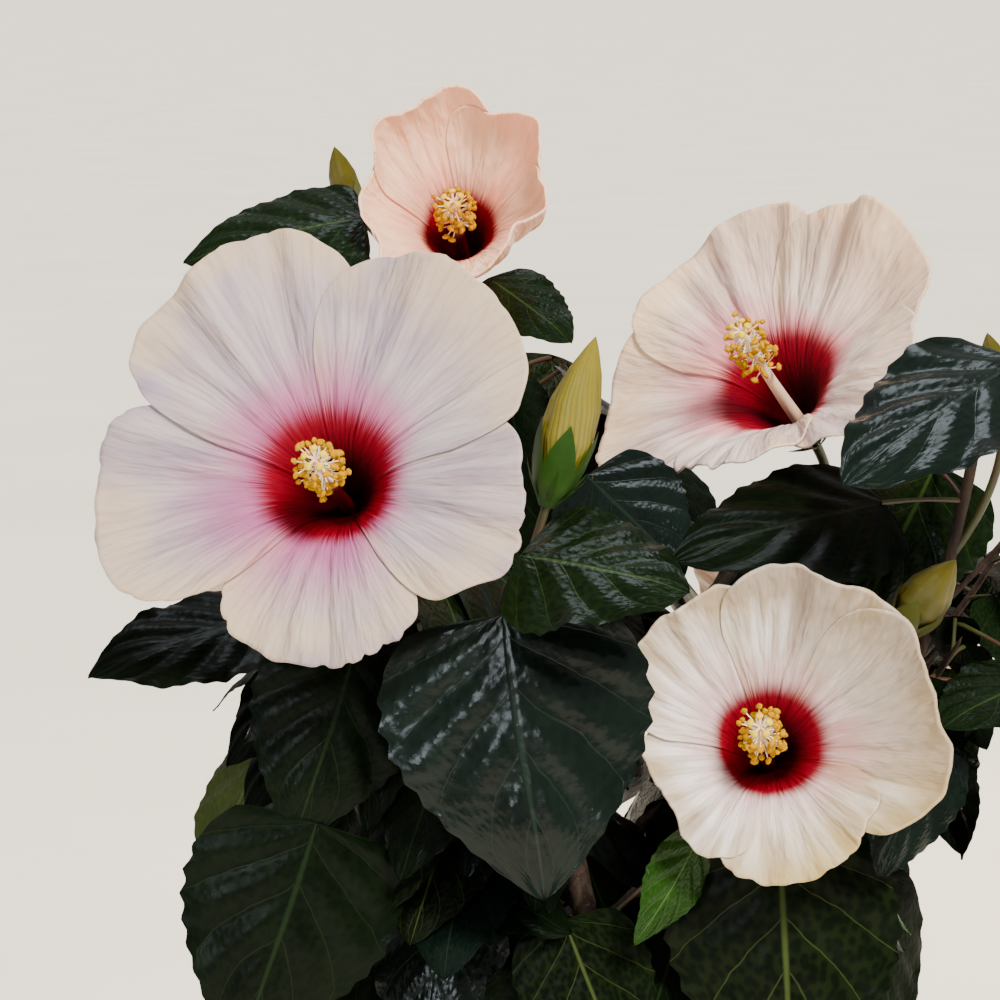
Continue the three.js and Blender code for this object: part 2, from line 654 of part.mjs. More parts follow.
// How far along a stem, up to a share of it, a point's stalk leaves it.
function nearestShare(stem, point, most) {
  let best = 0.04;
  for (let share = 0.04; share <= most; share += 0.04)
    if (stem.getPoint(share).distanceTo(point) < stem.getPoint(best).distanceTo(point)) best = share;
  return best;
}

// A side twig of a stem: where it leaves, and where it ends.
function twigCurve(stem, index, draws) {
  const root = stem.getPoint(mix(0.2, 0.62, draws()));
  const outward = new THREE.Vector3(root.x, root.y, 0).normalize();
  const way = outward
    .applyAxisAngle(UP, (index % 2 ? 1 : -1) * mix(0.5, 1.1, draws()))
    .addScaledVector(UP, mix(0.35, 0.9, draws()))
    .normalize();
  const long = mix(...TWIG_LENGTHS, draws());
  const bend = root.clone().addScaledVector(way, long * 0.5);
  const tip = root.clone().addScaledVector(way, long).addScaledVector(UP, long * 0.25);
  return new THREE.QuadraticBezierCurve3(root, bend, tip);
}

// The plant, from its wood and blooms to the leaves round them. placed holds what no leaf may touch.
const placed = [];
const groups = {};
function keep(kind, name, solid) {
  groups[kind] ??= [];
  groups[kind].push({ name, solid });
}
function place(kind, name, solid) {
  keep(kind, name, solid);
  placed.push(boxed(solid));
}

// A limb's solid, cut clear of the wood that is there already.
const standing = [limb(trunkCurve, (share) => trunkRadius(share) + GAP, TRUNK_SIDES, TRUNK_STEPS)];
function cutClear(curve, radiusAt, sides, steps) {
  const whole = limb(curve, radiusAt, sides, steps);
  const clear = wholeOf(standing.reduce((solid, other) => solid.subtract(other), whole));
  standing.push(limb(curve, (share) => radiusAt(share) + GAP, sides, steps));
  return clear;
}

place("vessel", "pot", makePot());
place("vessel", "soil", makeSoil());
const trunk = limb(trunkCurve, trunkRadius, TRUNK_SIDES, TRUNK_STEPS);
place("wood", "trunk", trunk.trimByPlane([0, 0, 1], SOIL_TOP + GAP));

const shoots = SHOOTS.map((shoot, order) => {
  const whole = shootCurve(shoot);
  const start = shoot.bare ? shoot.bare + GAP / whole.getLength() : 0;
  const stem = new Stretch(whole, start, 1);
  const stemRadius = (share) => shootRadius(shoot, mix(start, 1, share));
  if (shoot.bare) {
    const bough = new Stretch(whole, 0, shoot.bare);
    const boughRadius = (share) => shootRadius(shoot, share * shoot.bare);
    place("wood", `bough_${shoot.name}`, cutClear(bough, boughRadius, 7, 4));
  }
  const wood = shoot.bare ? limb(stem, stemRadius, 5, 4) : cutClear(stem, stemRadius, 5, 5);
  return { ...shoot, stem, wood: [boxed(wood)], leaves: [], draws: makeDraws(SEED + order) };
});
const shootNamed = (name) => shoots.find((shoot) => shoot.name === name);

for (const bloom of blooms)
  place("blooms", `bloom_${bloom.name}`, makeBloom(bloom, shootNamed(bloom.on).stem));

for (const bud of BUDS) {
  const shoot = shootNamed(bud.on);
  shoot.wood.push(boxed(budStalk(bud, shoot.stem)), boxed(makeBud(bud)));
}

// Every leaf's blade and stalk so far, each with its shoot.
const grown = [];
const woodOf = (chosen) => chosen.flatMap((shoot) => shoot.wood);
const othersThan = (shoot) => shoots.filter((other) => other !== shoot);

// Adds a leaf to a shoot, with a share of its size kept free round it. It is left out where its blade would
// touch anything, or its stalk anything but its own stem and the stalks beside it.
function addLeaf(shoot, root, leaf, spare) {
  const space = leafSpace(leaf, spare);
  if (touches(space, [...placed, ...woodOf(shoots), ...grown])) return false;
  const stalk = lofted(stalkSections(root, leaf, LEAF_STALK_RADIUS + GAP), leaf.foot);
  const apart = grown.filter((each) => each.isBlade || each.shoot !== shoot);
  if (touches(stalk, [...placed, ...woodOf(othersThan(shoot)), ...apart])) return false;
  const [rootSection, footSection] = stalkSections(root, leaf, LEAF_STALK_RADIUS);
  const sections = [footSection, ...bladeSections(leaf, LEAF_THICKNESS)];
  const tip = leafPoint(leaf, 1, 0);
  grown.push(boxed(lofted(sections, tip), { shoot, isBlade: true }), boxed(stalk, { shoot, isBlade: false }));
  shoot.leaves.push(lofted([rootSection, ...sections], tip));
  return true;
}

for (const row of SHOWN_LEAVES) {
  const { stem } = shootNamed(row.on);
  const foot = vector(row.foot);
  const axis = vector(row.tip).sub(foot);
  const leaf = makeLeaf(foot, axis, vector(row.face), axis.length(), row.wide);
  addLeaf(shootNamed(row.on), stem.getPoint(nearestShare(stem, foot, 0.96)), leaf, SHOWN_LEAF_SPARE);
}

// A side twig of a shoot, tried again from another place if it would touch anything.
function addTwig(shoot, index) {
  for (let attempt = 0; attempt < TWIG_TRIES; attempt++) {
    const twig = twigCurve(shoot.stem, index, shoot.draws);
    const radiusAt = (share) => mix(TWIG_RADIUS, TWIG_TIP_RADIUS, share);
    const space = limb(twig, (share) => radiusAt(share) + GAP, 4, 3);
    if (touches(space, [...placed, ...woodOf(othersThan(shoot)), ...grown])) continue;
    shoot.wood.push(boxed(limb(twig, radiusAt, 4, 3)));
    return [twig];
  }
  return [];
}

// The rule for the other leaves: one at each joint of a stem and its twigs, each turned on from the one
// before.
function growLeaves(shoot, curve, from, size) {
  const joints = Math.floor((curve.getLength() * (1 - from)) / LEAF_SPACING);
  let turn = shoot.draws() * 2 * Math.PI;
  for (let joint = 0; joint <= joints; joint++) {
    const share = Math.min(LAST_JOINT, mix(from, 1, joint / Math.max(1, joints)));
    const root = curve.getPoint(share);
    const tangent = curve.getTangent(share);
    for (let attempt = 0; attempt < LEAF_TRIES; attempt++) {
      const grownTo = attempt < FULL_SIZE_TRIES ? size : YOUNG_LEAF * size;
      const leaf = ruledLeaf(root, tangent, turn + RETRY_TURN * attempt, shoot.draws, grownTo);
      const ends = [leafPoint(leaf, 1, 0), leafPoint(leaf, 0.4, -1), leafPoint(leaf, 0.4, 1), leaf.foot];
      if (ends.some((end) => outsideCrown(end, shoot.ceiling || CROWN_TOP))) continue;
      if (addLeaf(shoot, root, leaf, LEAF_SPARE)) break;
    }
    turn += LEAF_TURN;
  }
}

for (const shoot of shoots) {
  shoot.sides = Array.from({ length: shoot.twigs }, (_, index) => addTwig(shoot, index)).flat();
}
for (const shoot of shoots) {
  growLeaves(shoot, shoot.stem, shoot.bare ? 0.05 : 0.3, 1);
  for (const twig of shoot.sides) growLeaves(shoot, twig, 0.3, TWIG_LEAF);
  const solids = [...shoot.wood.map(({ solid }) => solid), ...shoot.leaves];
  keep("foliage", `foliage_${shoot.name}`, wholeOf(wasm.Manifold.union(solids)));
}

function makeMesh(name, solid, finish) {
  const { vertProperties, triVerts } = solid.getMesh();
  const geometry = new THREE.BufferGeometry()
    .setAttribute("position", new THREE.BufferAttribute(vertProperties, 3))
    .setIndex(new THREE.BufferAttribute(triVerts, 1));
  const mesh = new THREE.Mesh(geometry, new THREE.MeshStandardMaterial({ metalness: 0, ...finish }));
  mesh.name = name;
  return mesh;
}

const plant = new THREE.Group();
for (const [kind, pieces] of Object.entries(groups)) {
  const group = new THREE.Group();
  group.name = kind;
  group.add(...pieces.map(({ name, solid }) => makeMesh(name, solid, FINISHES[name] || FINISHES[kind])));
  plant.add(group);
}

export default plant;
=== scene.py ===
import math
from functools import lru_cache

import bpy
import numpy as np
from bpy.props import FloatProperty, FloatVectorProperty, IntProperty, PointerProperty
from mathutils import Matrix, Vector, bvhtree, kdtree


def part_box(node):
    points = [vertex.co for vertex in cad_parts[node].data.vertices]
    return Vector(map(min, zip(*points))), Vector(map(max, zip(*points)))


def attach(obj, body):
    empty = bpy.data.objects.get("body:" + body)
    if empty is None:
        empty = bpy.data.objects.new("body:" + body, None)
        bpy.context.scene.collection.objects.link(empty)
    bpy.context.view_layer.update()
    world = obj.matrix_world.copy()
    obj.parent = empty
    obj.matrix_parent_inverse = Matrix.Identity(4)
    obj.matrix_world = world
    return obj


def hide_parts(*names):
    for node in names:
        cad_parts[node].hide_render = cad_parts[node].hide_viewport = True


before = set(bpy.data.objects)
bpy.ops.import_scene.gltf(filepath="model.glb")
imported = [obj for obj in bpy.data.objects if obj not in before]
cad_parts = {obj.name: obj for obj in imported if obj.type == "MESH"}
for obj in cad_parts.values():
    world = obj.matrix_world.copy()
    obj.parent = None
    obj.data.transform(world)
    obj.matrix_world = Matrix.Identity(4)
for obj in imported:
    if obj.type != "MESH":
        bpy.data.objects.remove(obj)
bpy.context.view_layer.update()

bl_info = {
    "name": "Hibiscus in its pot",
    "version": (1, 0, 0),
    "blender": (4, 5, 0),
    "location": "3D View > Sidebar > Hibiscus",
    "description": "Grows a potted hibiscus shrub, with its blooms and its stage",
    "category": "Object",
}

MM = 0.001
MERGE_DISTANCE = 2e-6
UP = np.array([0.0, 0.0, 1.0])

# The plant's rule in millimetres, as its solids grew by it
RIM_DEPTH = 28
SOIL_TOP = 138
GAP = 0.3
TRUNK_CURVE = [(0, 0, SOIL_TOP - 6), (-5, 3, 185), (3, -2, 236)]
TRUNK_RADII = (8.5, 5.5)
FLARE_RADIUS = 13
BOUGH_RADII = (4.4, 2.9)
STEM_TIP_RADIUS = 1.7
TWIG_RADII = (1.5, 1.0)
TWIG_TRIES = 4
LEAF_STALK_RADIUS = 1.1
BLOOM_STALK_RADIUS = 1.6
LEAF_SPACING = 13.5
LEAF_TRIES = 12
FULL_SIZE_TRIES = 7
YOUNG_LEAF = 0.74
TWIG_LEAF = 0.88
LEAF_TURN = 2.4
RETRY_TURN = 1.1
CROWN_CORE = 125
CROWN_TOP = 450
CROWN_OUTLINE = [(158, 90), (230, 124), (300, 132), (350, 158), (410, 164), (CROWN_TOP, 126), (520, 126)]
THROAT_RADIUS = 3.0
THROAT_HEIGHT = 2.0
PROFILE_STEPS = 12
SEED = 20

# What the dressed plant has beyond its solids
FINER_SEED = 300
FINER_TWIGS = 8
FINER_TWIG_RADII = (1.1, 0.7)
FINER_SPACING = 7
FINER_SIZES = (0.84, 0.76, 0.66, 0.56, 0.48, 0.4)
SOIL_SEED = 7
LEAF_SEED = 50
COLUMN_SEED = 70
RELIEF_SEEDS = {"trunk": 1, "bough": 5, "stem": 30}

# Each shoot: its fork on the trunk, its bend and tip, the share of it that is bough, and its side twigs
SHOOTS = {
    "left": (0.62, (-52, -12, 268), (-62, -34, 370), 0.45, 4),
    "centre": (0.8, (-56, -38, 262), (-27, -82, 368), 0.45, 4),
    "front_right": (0.45, (40, -40, 222), (49, -38, 288), 0.4, 3),
    "right": (0.7, (104, -12, 256), (122, -46, 414), 0.45, 4),
    "upper_right": (0.98, (50, 30, 268), (80, 30, 352), 0.4, 6),
    "top": (0.9, (-14, 58, 300), (-32, 92, 414), 0.45, 5),
    "back_left": (0.75, (-66, 36, 256), (-76, 56, 330), 0.4, 5),
    "back_right": (0.6, (46, 54, 232), (64, 72, 296), 0.4, 5),
    "low_left": (0.3, (-52, 2, 200), (-66, -26, 258), 0, 5),
    "low_front": (0.36, (-8, -40, 202), (-8, -66, 250), 0, 4),
    "low_right": (0.26, (56, 14, 200), (70, 6, 258), 0, 6),
    "low_back": (0.4, (-6, 52, 204), (-16, 68, 262), 0, 6),
}
CEILINGS = {"top": 492}
CLEAR_VIEW = 260

# Each bloom: its seat and the way it faces, its petals' length, angles at the throat and edge, how far it
# closes again, half angle of a petal and the first petal's place, all angles in degrees. Then for each petal
# how far it is moved round the bloom, the change of its edge angle, its length, how short its corners are and
# whether it lies over the next (1) or under it (-1). Last the column's length and the side it is seen from
PETALS = 5
PETAL_TURN = 360 / PETALS
SHOWN_SIDE = (0, -1, 0.14)
BLOOMS = {
    "left": {
        "seat": (-76, -86, 391), "faces": (-0.154, -0.9, 0.39),
        "long": 80, "throat": 25, "edge": 82, "closes": 0, "half": 45, "first": 56,
        "leans": (2, -7, -9, -2, 5), "opens": (3, 0, 2, 6, 0), "shares": (1.09, 1.16, 1.07, 0.86, 0.93),
        "corners": (0.26, 0.3, 0.42, 0.12, 0.26), "laps": (1, 1, 1, -1, -1), "column": 57, "seen": SHOWN_SIDE,
    },
    "front_right": {
        "seat": (54, -74, 308), "faces": (-0.12, -0.9, 0.44),
        "long": 66, "throat": 27, "edge": 68, "closes": 36, "half": 54, "first": 62,
        "leans": (-2, -4, 12, 18, 20), "opens": (2, -6, -12, 18, 8), "shares": (1.08, 0.98, 0.78, 0.82, 1.08),
        "corners": (0.16,) * PETALS, "laps": (1,) * PETALS, "column": 49, "seen": SHOWN_SIDE,
    },
    "upper_right": {
        "seat": (73, 8, 402), "faces": (-0.44, -0.63, 0.64),
        "long": 72, "throat": 25, "edge": 80, "closes": 8, "half": 50, "first": 64,
        "leans": (0, -8, -10, 0, 0), "opens": (-8, 2, 8, -34, -18), "shares": (1.12, 1.12, 1.04, 0.88, 1.02),
        "corners": (0.24,) * PETALS, "laps": (1, 1, -1, 1, 1), "column": 63, "seen": SHOWN_SIDE,
    },
    "top": {
        "seat": (-42, 76, 454), "faces": (-0.1, -0.81, 0.58),
        "long": 62, "throat": 23, "edge": 46, "closes": 42, "half": 62, "first": 40,
        "leans": (0,) * PETALS, "opens": (2, 0, -6, 8, 0), "shares": (1, 1.04, 0.9, 0.96, 1),
        "corners": (0.16,) * PETALS, "laps": (1, 1, -1, 1, 1), "column": 42, "seen": SHOWN_SIDE,
    },
    "back_left": {
        "seat": (-84, 96, 366), "faces": (-0.45, 0.8, 0.4),
        "long": 76, "throat": 25, "edge": 80, "closes": 0, "half": 46, "first": 20,
        "leans": (3, -4, 2, -3, 4), "opens": (0, 4, -4, 0, 3), "shares": (1.02, 0.98, 1.04, 1, 1.02),
        "corners": (0.3,) * PETALS, "laps": (1,) * PETALS, "column": 54, "seen": (-0.5, 0.86, 0.14),
    },
    "back_right": {
        "seat": (76, 108, 297), "faces": (0.36, 0.8, 0.48),
        "long": 70, "throat": 26, "edge": 72, "closes": 14, "half": 48, "first": 50,
        "leans": (-3, 4, 0, 4, -2), "opens": (0, -4, 3, 6, 0), "shares": (1, 1.02, 0.96, 1, 0.98),
        "corners": (0.26,) * PETALS, "laps": (1, -1, 1, 1, 1), "column": 52, "seen": (0.4, 0.9, 0.14),
    },
}

# Buds: shoot, foot, point, width and the kind of their petals
BUDS = [
    ("centre", (-16, -95, 393), (-1, -95, 445), 18, "cream"),
    ("right", (94, -66, 348), (112, -72, 373), 17, "olive"),
    ("right", (130, -36, 420), (126, -30, 440), 10, "olive"),
    ("top", (-82, 92, 470), (-88, 90, 494), 11, "olive"),
    ("back_right", (98, 58, 332), (110, 64, 362), 13, "cream"),
    ("back_left", (-70, 96, 372), (-68, 108, 408), 12, "olive"),
]

# The leaves that the front shows whole: shoot, foot, tip, width, the way they face, their tint, and how much
# their edges wave
SHOWN_LEAVES = [
    ("centre", (-29, -115, 363), (-17, -135, 280), 83, (-0.05, -0.95, 0.3), "cool", 1.0),
    ("centre", (-24, -120, 382), (25, -146, 377), 53, (0.16, -0.68, 0.72), "mid", 2.2),
    ("left", (-74, -93, 350), (-92, -109, 292), 54, (0.1, -0.96, 0.16), "dark", 1.0),
    ("left", (-98, -70, 356), (-156, -98, 343), 44, (-0.1, -0.6, 0.8), "dark", 1.5),
    ("low_left", (-86, -106, 297), (-109, -118, 226), 68, (0.12, -0.96, 0.12), "dark", 1.2),
    # This leaf's olive tint is painted light: the yellow-green of light shining through the blade.
    ("low_left", (-107, -4, 301), (-130, -24, 251), 38, (-0.6, -0.7, 0.35), "olive", 0.8),
    ("front_right", (57, -88, 286), (59, -103, 204), 74, (0, -0.97, 0.2), "veined", 1.1),
    ("front_right", (106, -74, 318), (88, -98, 278), 34, (0.3, -0.8, 0.45), "cool", 1.2),
    ("right", (130, -76, 436), (72, -120, 406), 60, (-0.1, -0.55, 0.8), "cool", 2.2),
    ("right", (112, -16, 396), (86, -34, 346), 54, (-0.1, -0.96, 0.2), "mid", 0.8),
    ("right", (144, -56, 334), (106, -92, 326), 42, (0.1, -0.3, 0.95), "mid", 0.8),
    ("right", (92, -50, 388), (24, -80, 377), 56, (0, -0.56, 0.82), "dark", 1.0),
    ("upper_right", (-2, -30, 394), (28, -56, 366), 44, (-0.2, -0.8, 0.6), "cool", 1.0),
    ("top", (-76, 48, 472), (-138, 44, 459), 50, (-0.1, -0.6, 0.8), "mid", 0.8),
    ("top", (-34, 40, 452), (-6, 14, 434), 34, (0.3, -0.75, 0.6), "mid", 1.2),
    ("low_front", (31, -95, 289), (12, -112, 260), 22, (0.75, -0.3, 0.6), "bright", 1.4),
    ("low_front", (-10, -88, 262), (10, -106, 212), 44, (0.1, -0.95, 0.3), "veined", 0.6),
    ("low_front", (-52, -68, 276), (-8, -98, 262), 38, (0.1, -0.6, 0.8), "dark", 1.8),
]


def mix(a, b, share):
    return a + (b - a) * share


def unit(way):
    return way / np.linalg.norm(way)


def vector(xyz):
    return np.array(xyz, dtype=float)


def eased(value, low, high):
    share = np.clip((value - low) / (high - low), 0, 1)
    return share * share * (3 - 2 * share)


def turned(way, axis, angle):
    """A vector turned about a unit axis."""
    return (
        way * math.cos(angle)
        + np.cross(axis, way) * math.sin(angle)
        + axis * np.dot(axis, way) * (1 - math.cos(angle))
    )


# Curves are functions of a share from 0 to 1
def quadratic(a, b, c):
    a, b, c = vector(a), vector(b), vector(c)
    return lambda t: (1 - t) ** 2 * a + 2 * t * (1 - t) * b + t**2 * c


def cubic(a, b, c, d):
    return lambda t: (1 - t) ** 3 * a + 3 * t * (1 - t) ** 2 * b + 3 * t**2 * (1 - t) * c + t**3 * d


def stretch(curve, start, end):
    return lambda t: curve(mix(start, end, t))


def tangent(curve, share):
    return unit(curve(min(1, share + 1e-4)) - curve(max(0, share - 1e-4)))


def length(curve, steps=200):
    points = np.array([curve(i / steps) for i in range(steps + 1)])
    return float(np.linalg.norm(np.diff(points, axis=0), axis=1).sum())


def make_draws(seed):
    """Seeded draws from 0 to 1."""
    state = seed

    def draw():
        nonlocal state
        state = (state * 1664525 + 1013904223) % 4294967296
        return state / 4294967296

    return draw


# Leaves, as the solids have them
def make_leaf(root, foot, axis, face, long, wide, **looks):
    axis = unit(axis)
    face = unit(face - axis * np.dot(face, axis))
    side = np.cross(axis, face)
    ways = {"axis": axis, "face": face, "side": side}
    return {"root": root, "foot": foot, **ways, "long": long, "wide": wide, **looks}


def half_width(leaf, along):
    inner = np.clip(along, 0, 1)
    return (leaf["wide"] / 2) * np.clip(np.sin(math.pi * inner**0.62), 0, 1) ** 0.8


def leaf_points(leaf, along, across, half):
    """Points of a leaf's middle face: along it from 0 to 1, across it from -1 to 1."""
    long = leaf["long"]
    reach = long * (along - 0.1 * across**2 * (1 - along) ** 3 * np.minimum(1, along / 0.1))
    sag = 0.14 * long * ((along - 0.4) ** 2 - 0.16) + 0.16 * np.abs(across) * half
    return (
        leaf["foot"]
        + np.outer(reach, leaf["axis"])
        + np.outer(across * half, leaf["side"])
        - np.outer(sag, leaf["face"])
    )


def leaf_ends(leaf):
    along = np.array([1.0, 0.4, 0.4, 0.0])
    across = np.array([0.0, -1.0, 1.0, 0.0])
    return leaf_points(leaf, along, across, half_width(leaf, along))


def ruled_leaf(root, onward, turn, draw, size):
    first = unit(np.cross(onward, UP))
    second = np.cross(onward, first)
    outward = unit(vector((root[0], root[1], 0)))
    core = max(0, 1 - math.hypot(root[0], root[1]) / CROWN_CORE)
    way = unit((first * math.cos(turn) + second * math.sin(turn)) * 0.8 + outward * 0.9 * core + UP * 0.25)
    stalk = mix(16, 34, draw()) * size
    long = mix(50, 82, draw()) * size
    wide = mix(0.68, 0.86, draw()) * long
    droop = math.radians(mix(36, 84, draw()))
    roll = math.radians(mix(-24, 24, draw()))
    heading = unit(vector((way[0], way[1], 0)))
    axis = heading * math.cos(droop) - UP * math.sin(droop)
    face = turned(heading * math.sin(droop) + UP * math.cos(droop), axis, roll)
    return make_leaf(root, root + way * stalk, axis, face, long, wide)


def twig_curve(stem, index, draw):
    root = stem(mix(0.2, 0.62, draw()))
    outward = unit(vector((root[0], root[1], 0)))
    way = turned(outward, UP, (1 if index % 2 else -1) * mix(0.5, 1.1, draw()))
    way = unit(way + UP * mix(0.35, 0.9, draw()))
    long = mix(26, 52, draw())
    return quadratic(root, root + way * long * 0.5, root + way * long + UP * long * 0.25)


def nearest_share(stem, point, most):
    shares = [0.04]
    while shares[-1] + 0.04 <= most:
        shares.append(shares[-1] + 0.04)
    return min(shares, key=lambda share: np.linalg.norm(stem(share) - point))


# Blooms, as the solids have them
def bloom_facts(name):
    facts = {"name": name, **BLOOMS[name]}
    faces = unit(vector(facts["faces"]))
    right = unit(np.cross(UP, faces))
    facts.update(faces=faces, right=right, over=np.cross(faces, right))
    facts.update(seat=vector(facts["seat"]), seen=unit(vector(facts["seen"])))
    facts["spread"] = max(
        petal_profile(facts, vector([petal]), vector([share]))[0][0]
        for petal, share in enumerate(facts["shares"])
    )
    return facts


def round_bloom(values, place):
    """What each petal has at its middle, with a smooth passage between two; places are counted in petals."""
    petal = np.floor(place).astype(int)
    values = vector(values)
    return mix(values[petal % PETALS], values[(petal + 1) % PETALS], eased(place, petal, petal + 1))


def bloom_angle(bloom, place, reach):
    edge = bloom["edge"] + round_bloom(bloom["opens"], place)
    opened = mix(bloom["throat"], edge, eased(reach, 0.16, 0.6))
    return np.radians(opened - bloom["closes"] * eased(reach, 0.55, 1.05))


def petal_profile(bloom, place, reach):
    step = bloom["long"] * reach / PROFILE_STEPS
    radius = np.full_like(reach, THROAT_RADIUS)
    height = np.full_like(reach, THROAT_HEIGHT)
    for i in range(PROFILE_STEPS):
        angle = bloom_angle(bloom, place, reach * (i + 0.5) / PROFILE_STEPS)
        radius += np.sin(angle) * step
        height += np.cos(angle) * step
    return radius, height


def crown_radius(height):
    levels, radii = zip(*CROWN_OUTLINE)
    return float(np.interp(height, levels, radii, left=0, right=0))


def outside_crown(point, ceiling, blooms):
    if point[2] > ceiling or math.hypot(point[0], point[1]) > crown_radius(point[2]):
        return True
    for bloom in blooms:
        offset = point - bloom["seat"]
        for way in (bloom["faces"], bloom["seen"]):
            ahead = float(offset @ way)
            aside = float(np.linalg.norm(offset - way * ahead))
            if 0 < ahead < CLEAR_VIEW and aside < bloom["spread"] + 3:
                return True
    return False


# The whole plant: the stems, twigs and leaves that the solids have, and finer ones between them
def node_tree(node):
    """The corners of a solid, for finding what it has."""
    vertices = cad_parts[node].data.vertices
    tree = kdtree.KDTree(len(vertices))
    for vertex in vertices:
        tree.insert(vertex.co, vertex.index)
    tree.balance()
    return tree


def has_corner(tree, point, within=0.25):
    return tree.find(Vector(point * MM))[2] < within * MM


def has_twig(tree, twig):
    end = Vector(twig(1) * MM)
    near = tree.find_range(end, 1.25 * MM)
    return sum(distance > 0.7 * MM for _, _, distance in near) >= 3


class Space:
    """What stands already, to keep finer leaves and twigs off it."""

    def __init__(self):
        self.lows, self.highs, self.trees = [], [], []

    def add(self, points, faces):
        self.lows.append(points.min(axis=0))
        self.highs.append(points.max(axis=0))
        self.trees.append(bvhtree.BVHTree.FromPolygons(points.tolist(), faces))

    def touches(self, points, faces, spare=0.5):
        low, high = points.min(axis=0) - spare, points.max(axis=0) + spare
        near = np.all((np.array(self.lows) < high) & (np.array(self.highs) > low), axis=1)
        if not near.any():
            return False
        tree = bvhtree.BVHTree.FromPolygons(points.tolist(), faces)
        return any(self.trees[i].overlap(tree) for i in np.flatnonzero(near))


COARSE_ALONG = np.repeat(np.linspace(0, 1, 5), 3)
COARSE_ACROSS = np.tile([-1.0, 0.0, 1.0], 5)
COARSE_FACES = [
    (3 * i + j, 3 * i + j + 1, 3 * i + j + 4, 3 * i + j + 3) for i in range(4) for j in range(2)
]


def coarse_leaf(leaf, larger=1.0):
    grown = {**leaf, "wide": leaf["wide"] * larger}
    return leaf_points(grown, COARSE_ALONG, COARSE_ACROSS, half_width(grown, COARSE_ALONG))


def strip(a, b, half):
    """A thin strip between two points, for testing a stalk or a twig."""
    side = unit(np.cross(b - a, UP + vector((0.01, 0.02, 0)))) * half
    return np.array([a - side, a + side, b + side, b - side]), [(0, 1, 2, 3)]


@lru_cache
def plant():
    """Everything that grows, from the trunk to the last leaf."""
    blooms = [bloom_facts(name) for name in BLOOMS]
    trunk = quadratic(*TRUNK_CURVE)
    shoots = {}
    for order, (name, (fork, bend, tip, bare, twigs)) in enumerate(SHOOTS.items()):
        whole = quadratic(trunk(fork), bend, tip)
        start = bare + GAP / length(whole) if bare else 0
        shoots[name] = {
            "whole": whole, "start": start, "bare": bare, "stem": stretch(whole, start, 1),
            "draw": make_draws(SEED + order), "tree": node_tree(f"foliage_{name}"), "count": twigs,
            "twigs": [], "leaves": [],
        }
    for name, foot, tip, wide, face, tint, wave in SHOWN_LEAVES:
        stem = shoots[name]["stem"]
        foot, tip = vector(foot), vector(tip)
        root = stem(nearest_share(stem, foot, 0.96))
        long = float(np.linalg.norm(tip - foot))
        leaf = make_leaf(root, foot, tip - foot, vector(face), long, wide, tint=tint, wave=wave, shown=True)
        shoots[name]["leaves"].append(leaf)
    for shoot in shoots.values():
        for index in range(shoot["count"]):
            for _ in range(TWIG_TRIES):
                twig = twig_curve(shoot["stem"], index, shoot["draw"])
                if has_twig(shoot["tree"], twig):
                    shoot["twigs"].append(twig)
                    break
    for shoot in shoots.values():
        grow_ruled(shoot, shoot["stem"], 0.05 if shoot["bare"] else 0.3, 1)
        for twig in shoot["twigs"]:
            grow_ruled(shoot, twig, 0.3, TWIG_LEAF)
    grow_finer(shoots, blooms)
    return {"blooms": blooms, "trunk": trunk, "shoots": shoots}


def grow_ruled(shoot, curve, start, size):
    """The leaves of a stem or twig by the solids' rule: a try counts where the solid has that leaf's tip."""
    joints = math.floor(length(curve) * (1 - start) / LEAF_SPACING)
    turn = shoot["draw"]() * 2 * math.pi
    for joint in range(joints + 1):
        share = min(0.98, mix(start, 1, joint / max(1, joints)))
        root, onward = curve(share), tangent(curve, share)
        for attempt in range(LEAF_TRIES):
            grown = size if attempt < FULL_SIZE_TRIES else YOUNG_LEAF * size
            leaf = ruled_leaf(root, onward, turn + RETRY_TURN * attempt, shoot["draw"], grown)
            if has_corner(shoot["tree"], leaf_ends(leaf)[0]):
                shoot["leaves"].append(leaf)
                break
        turn += LEAF_TURN


def grow_finer(shoots, blooms):
    """Finer twigs and younger leaves between those that the solids have, clear of them and of the blooms."""
    space = Space()
    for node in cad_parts.values():
        if node.name.startswith(("bloom", "bough", "trunk", "pot")):
            points = np.array([vertex.co[:] for vertex in node.data.vertices]) / MM
            space.add(points, [tuple(face.vertices) for face in node.data.polygons])
    for shoot in shoots.values():
        for leaf in shoot["leaves"]:
            space.add(coarse_leaf(leaf), COARSE_FACES)
    for _, foot, point, wide, _ in BUDS:
        space.add(*strip(vector(foot), vector(point), wide / 2))
    for order, (name, shoot) in enumerate(shoots.items()):
        draw = make_draws(FINER_SEED + order)
        ceiling = CEILINGS.get(name, CROWN_TOP)
        shoot["finer"] = []
        parents = [shoot["stem"], *shoot["twigs"]]
        for index in range(FINER_TWIGS):
            parent = parents[int(draw() * len(parents))]
            twig = stretch(twig_curve(parent, index, draw), 0, 0.8)
            if outside_crown(twig(1), ceiling, blooms) or space.touches(*strip(twig(0.2), twig(1), 1)):
                continue
            space.add(*strip(twig(0), twig(1), 1))
            shoot["finer"].append(twig)
        for curve in [*parents, *shoot["finer"]]:
            grow_young(shoot, curve, ceiling, blooms, space, draw)


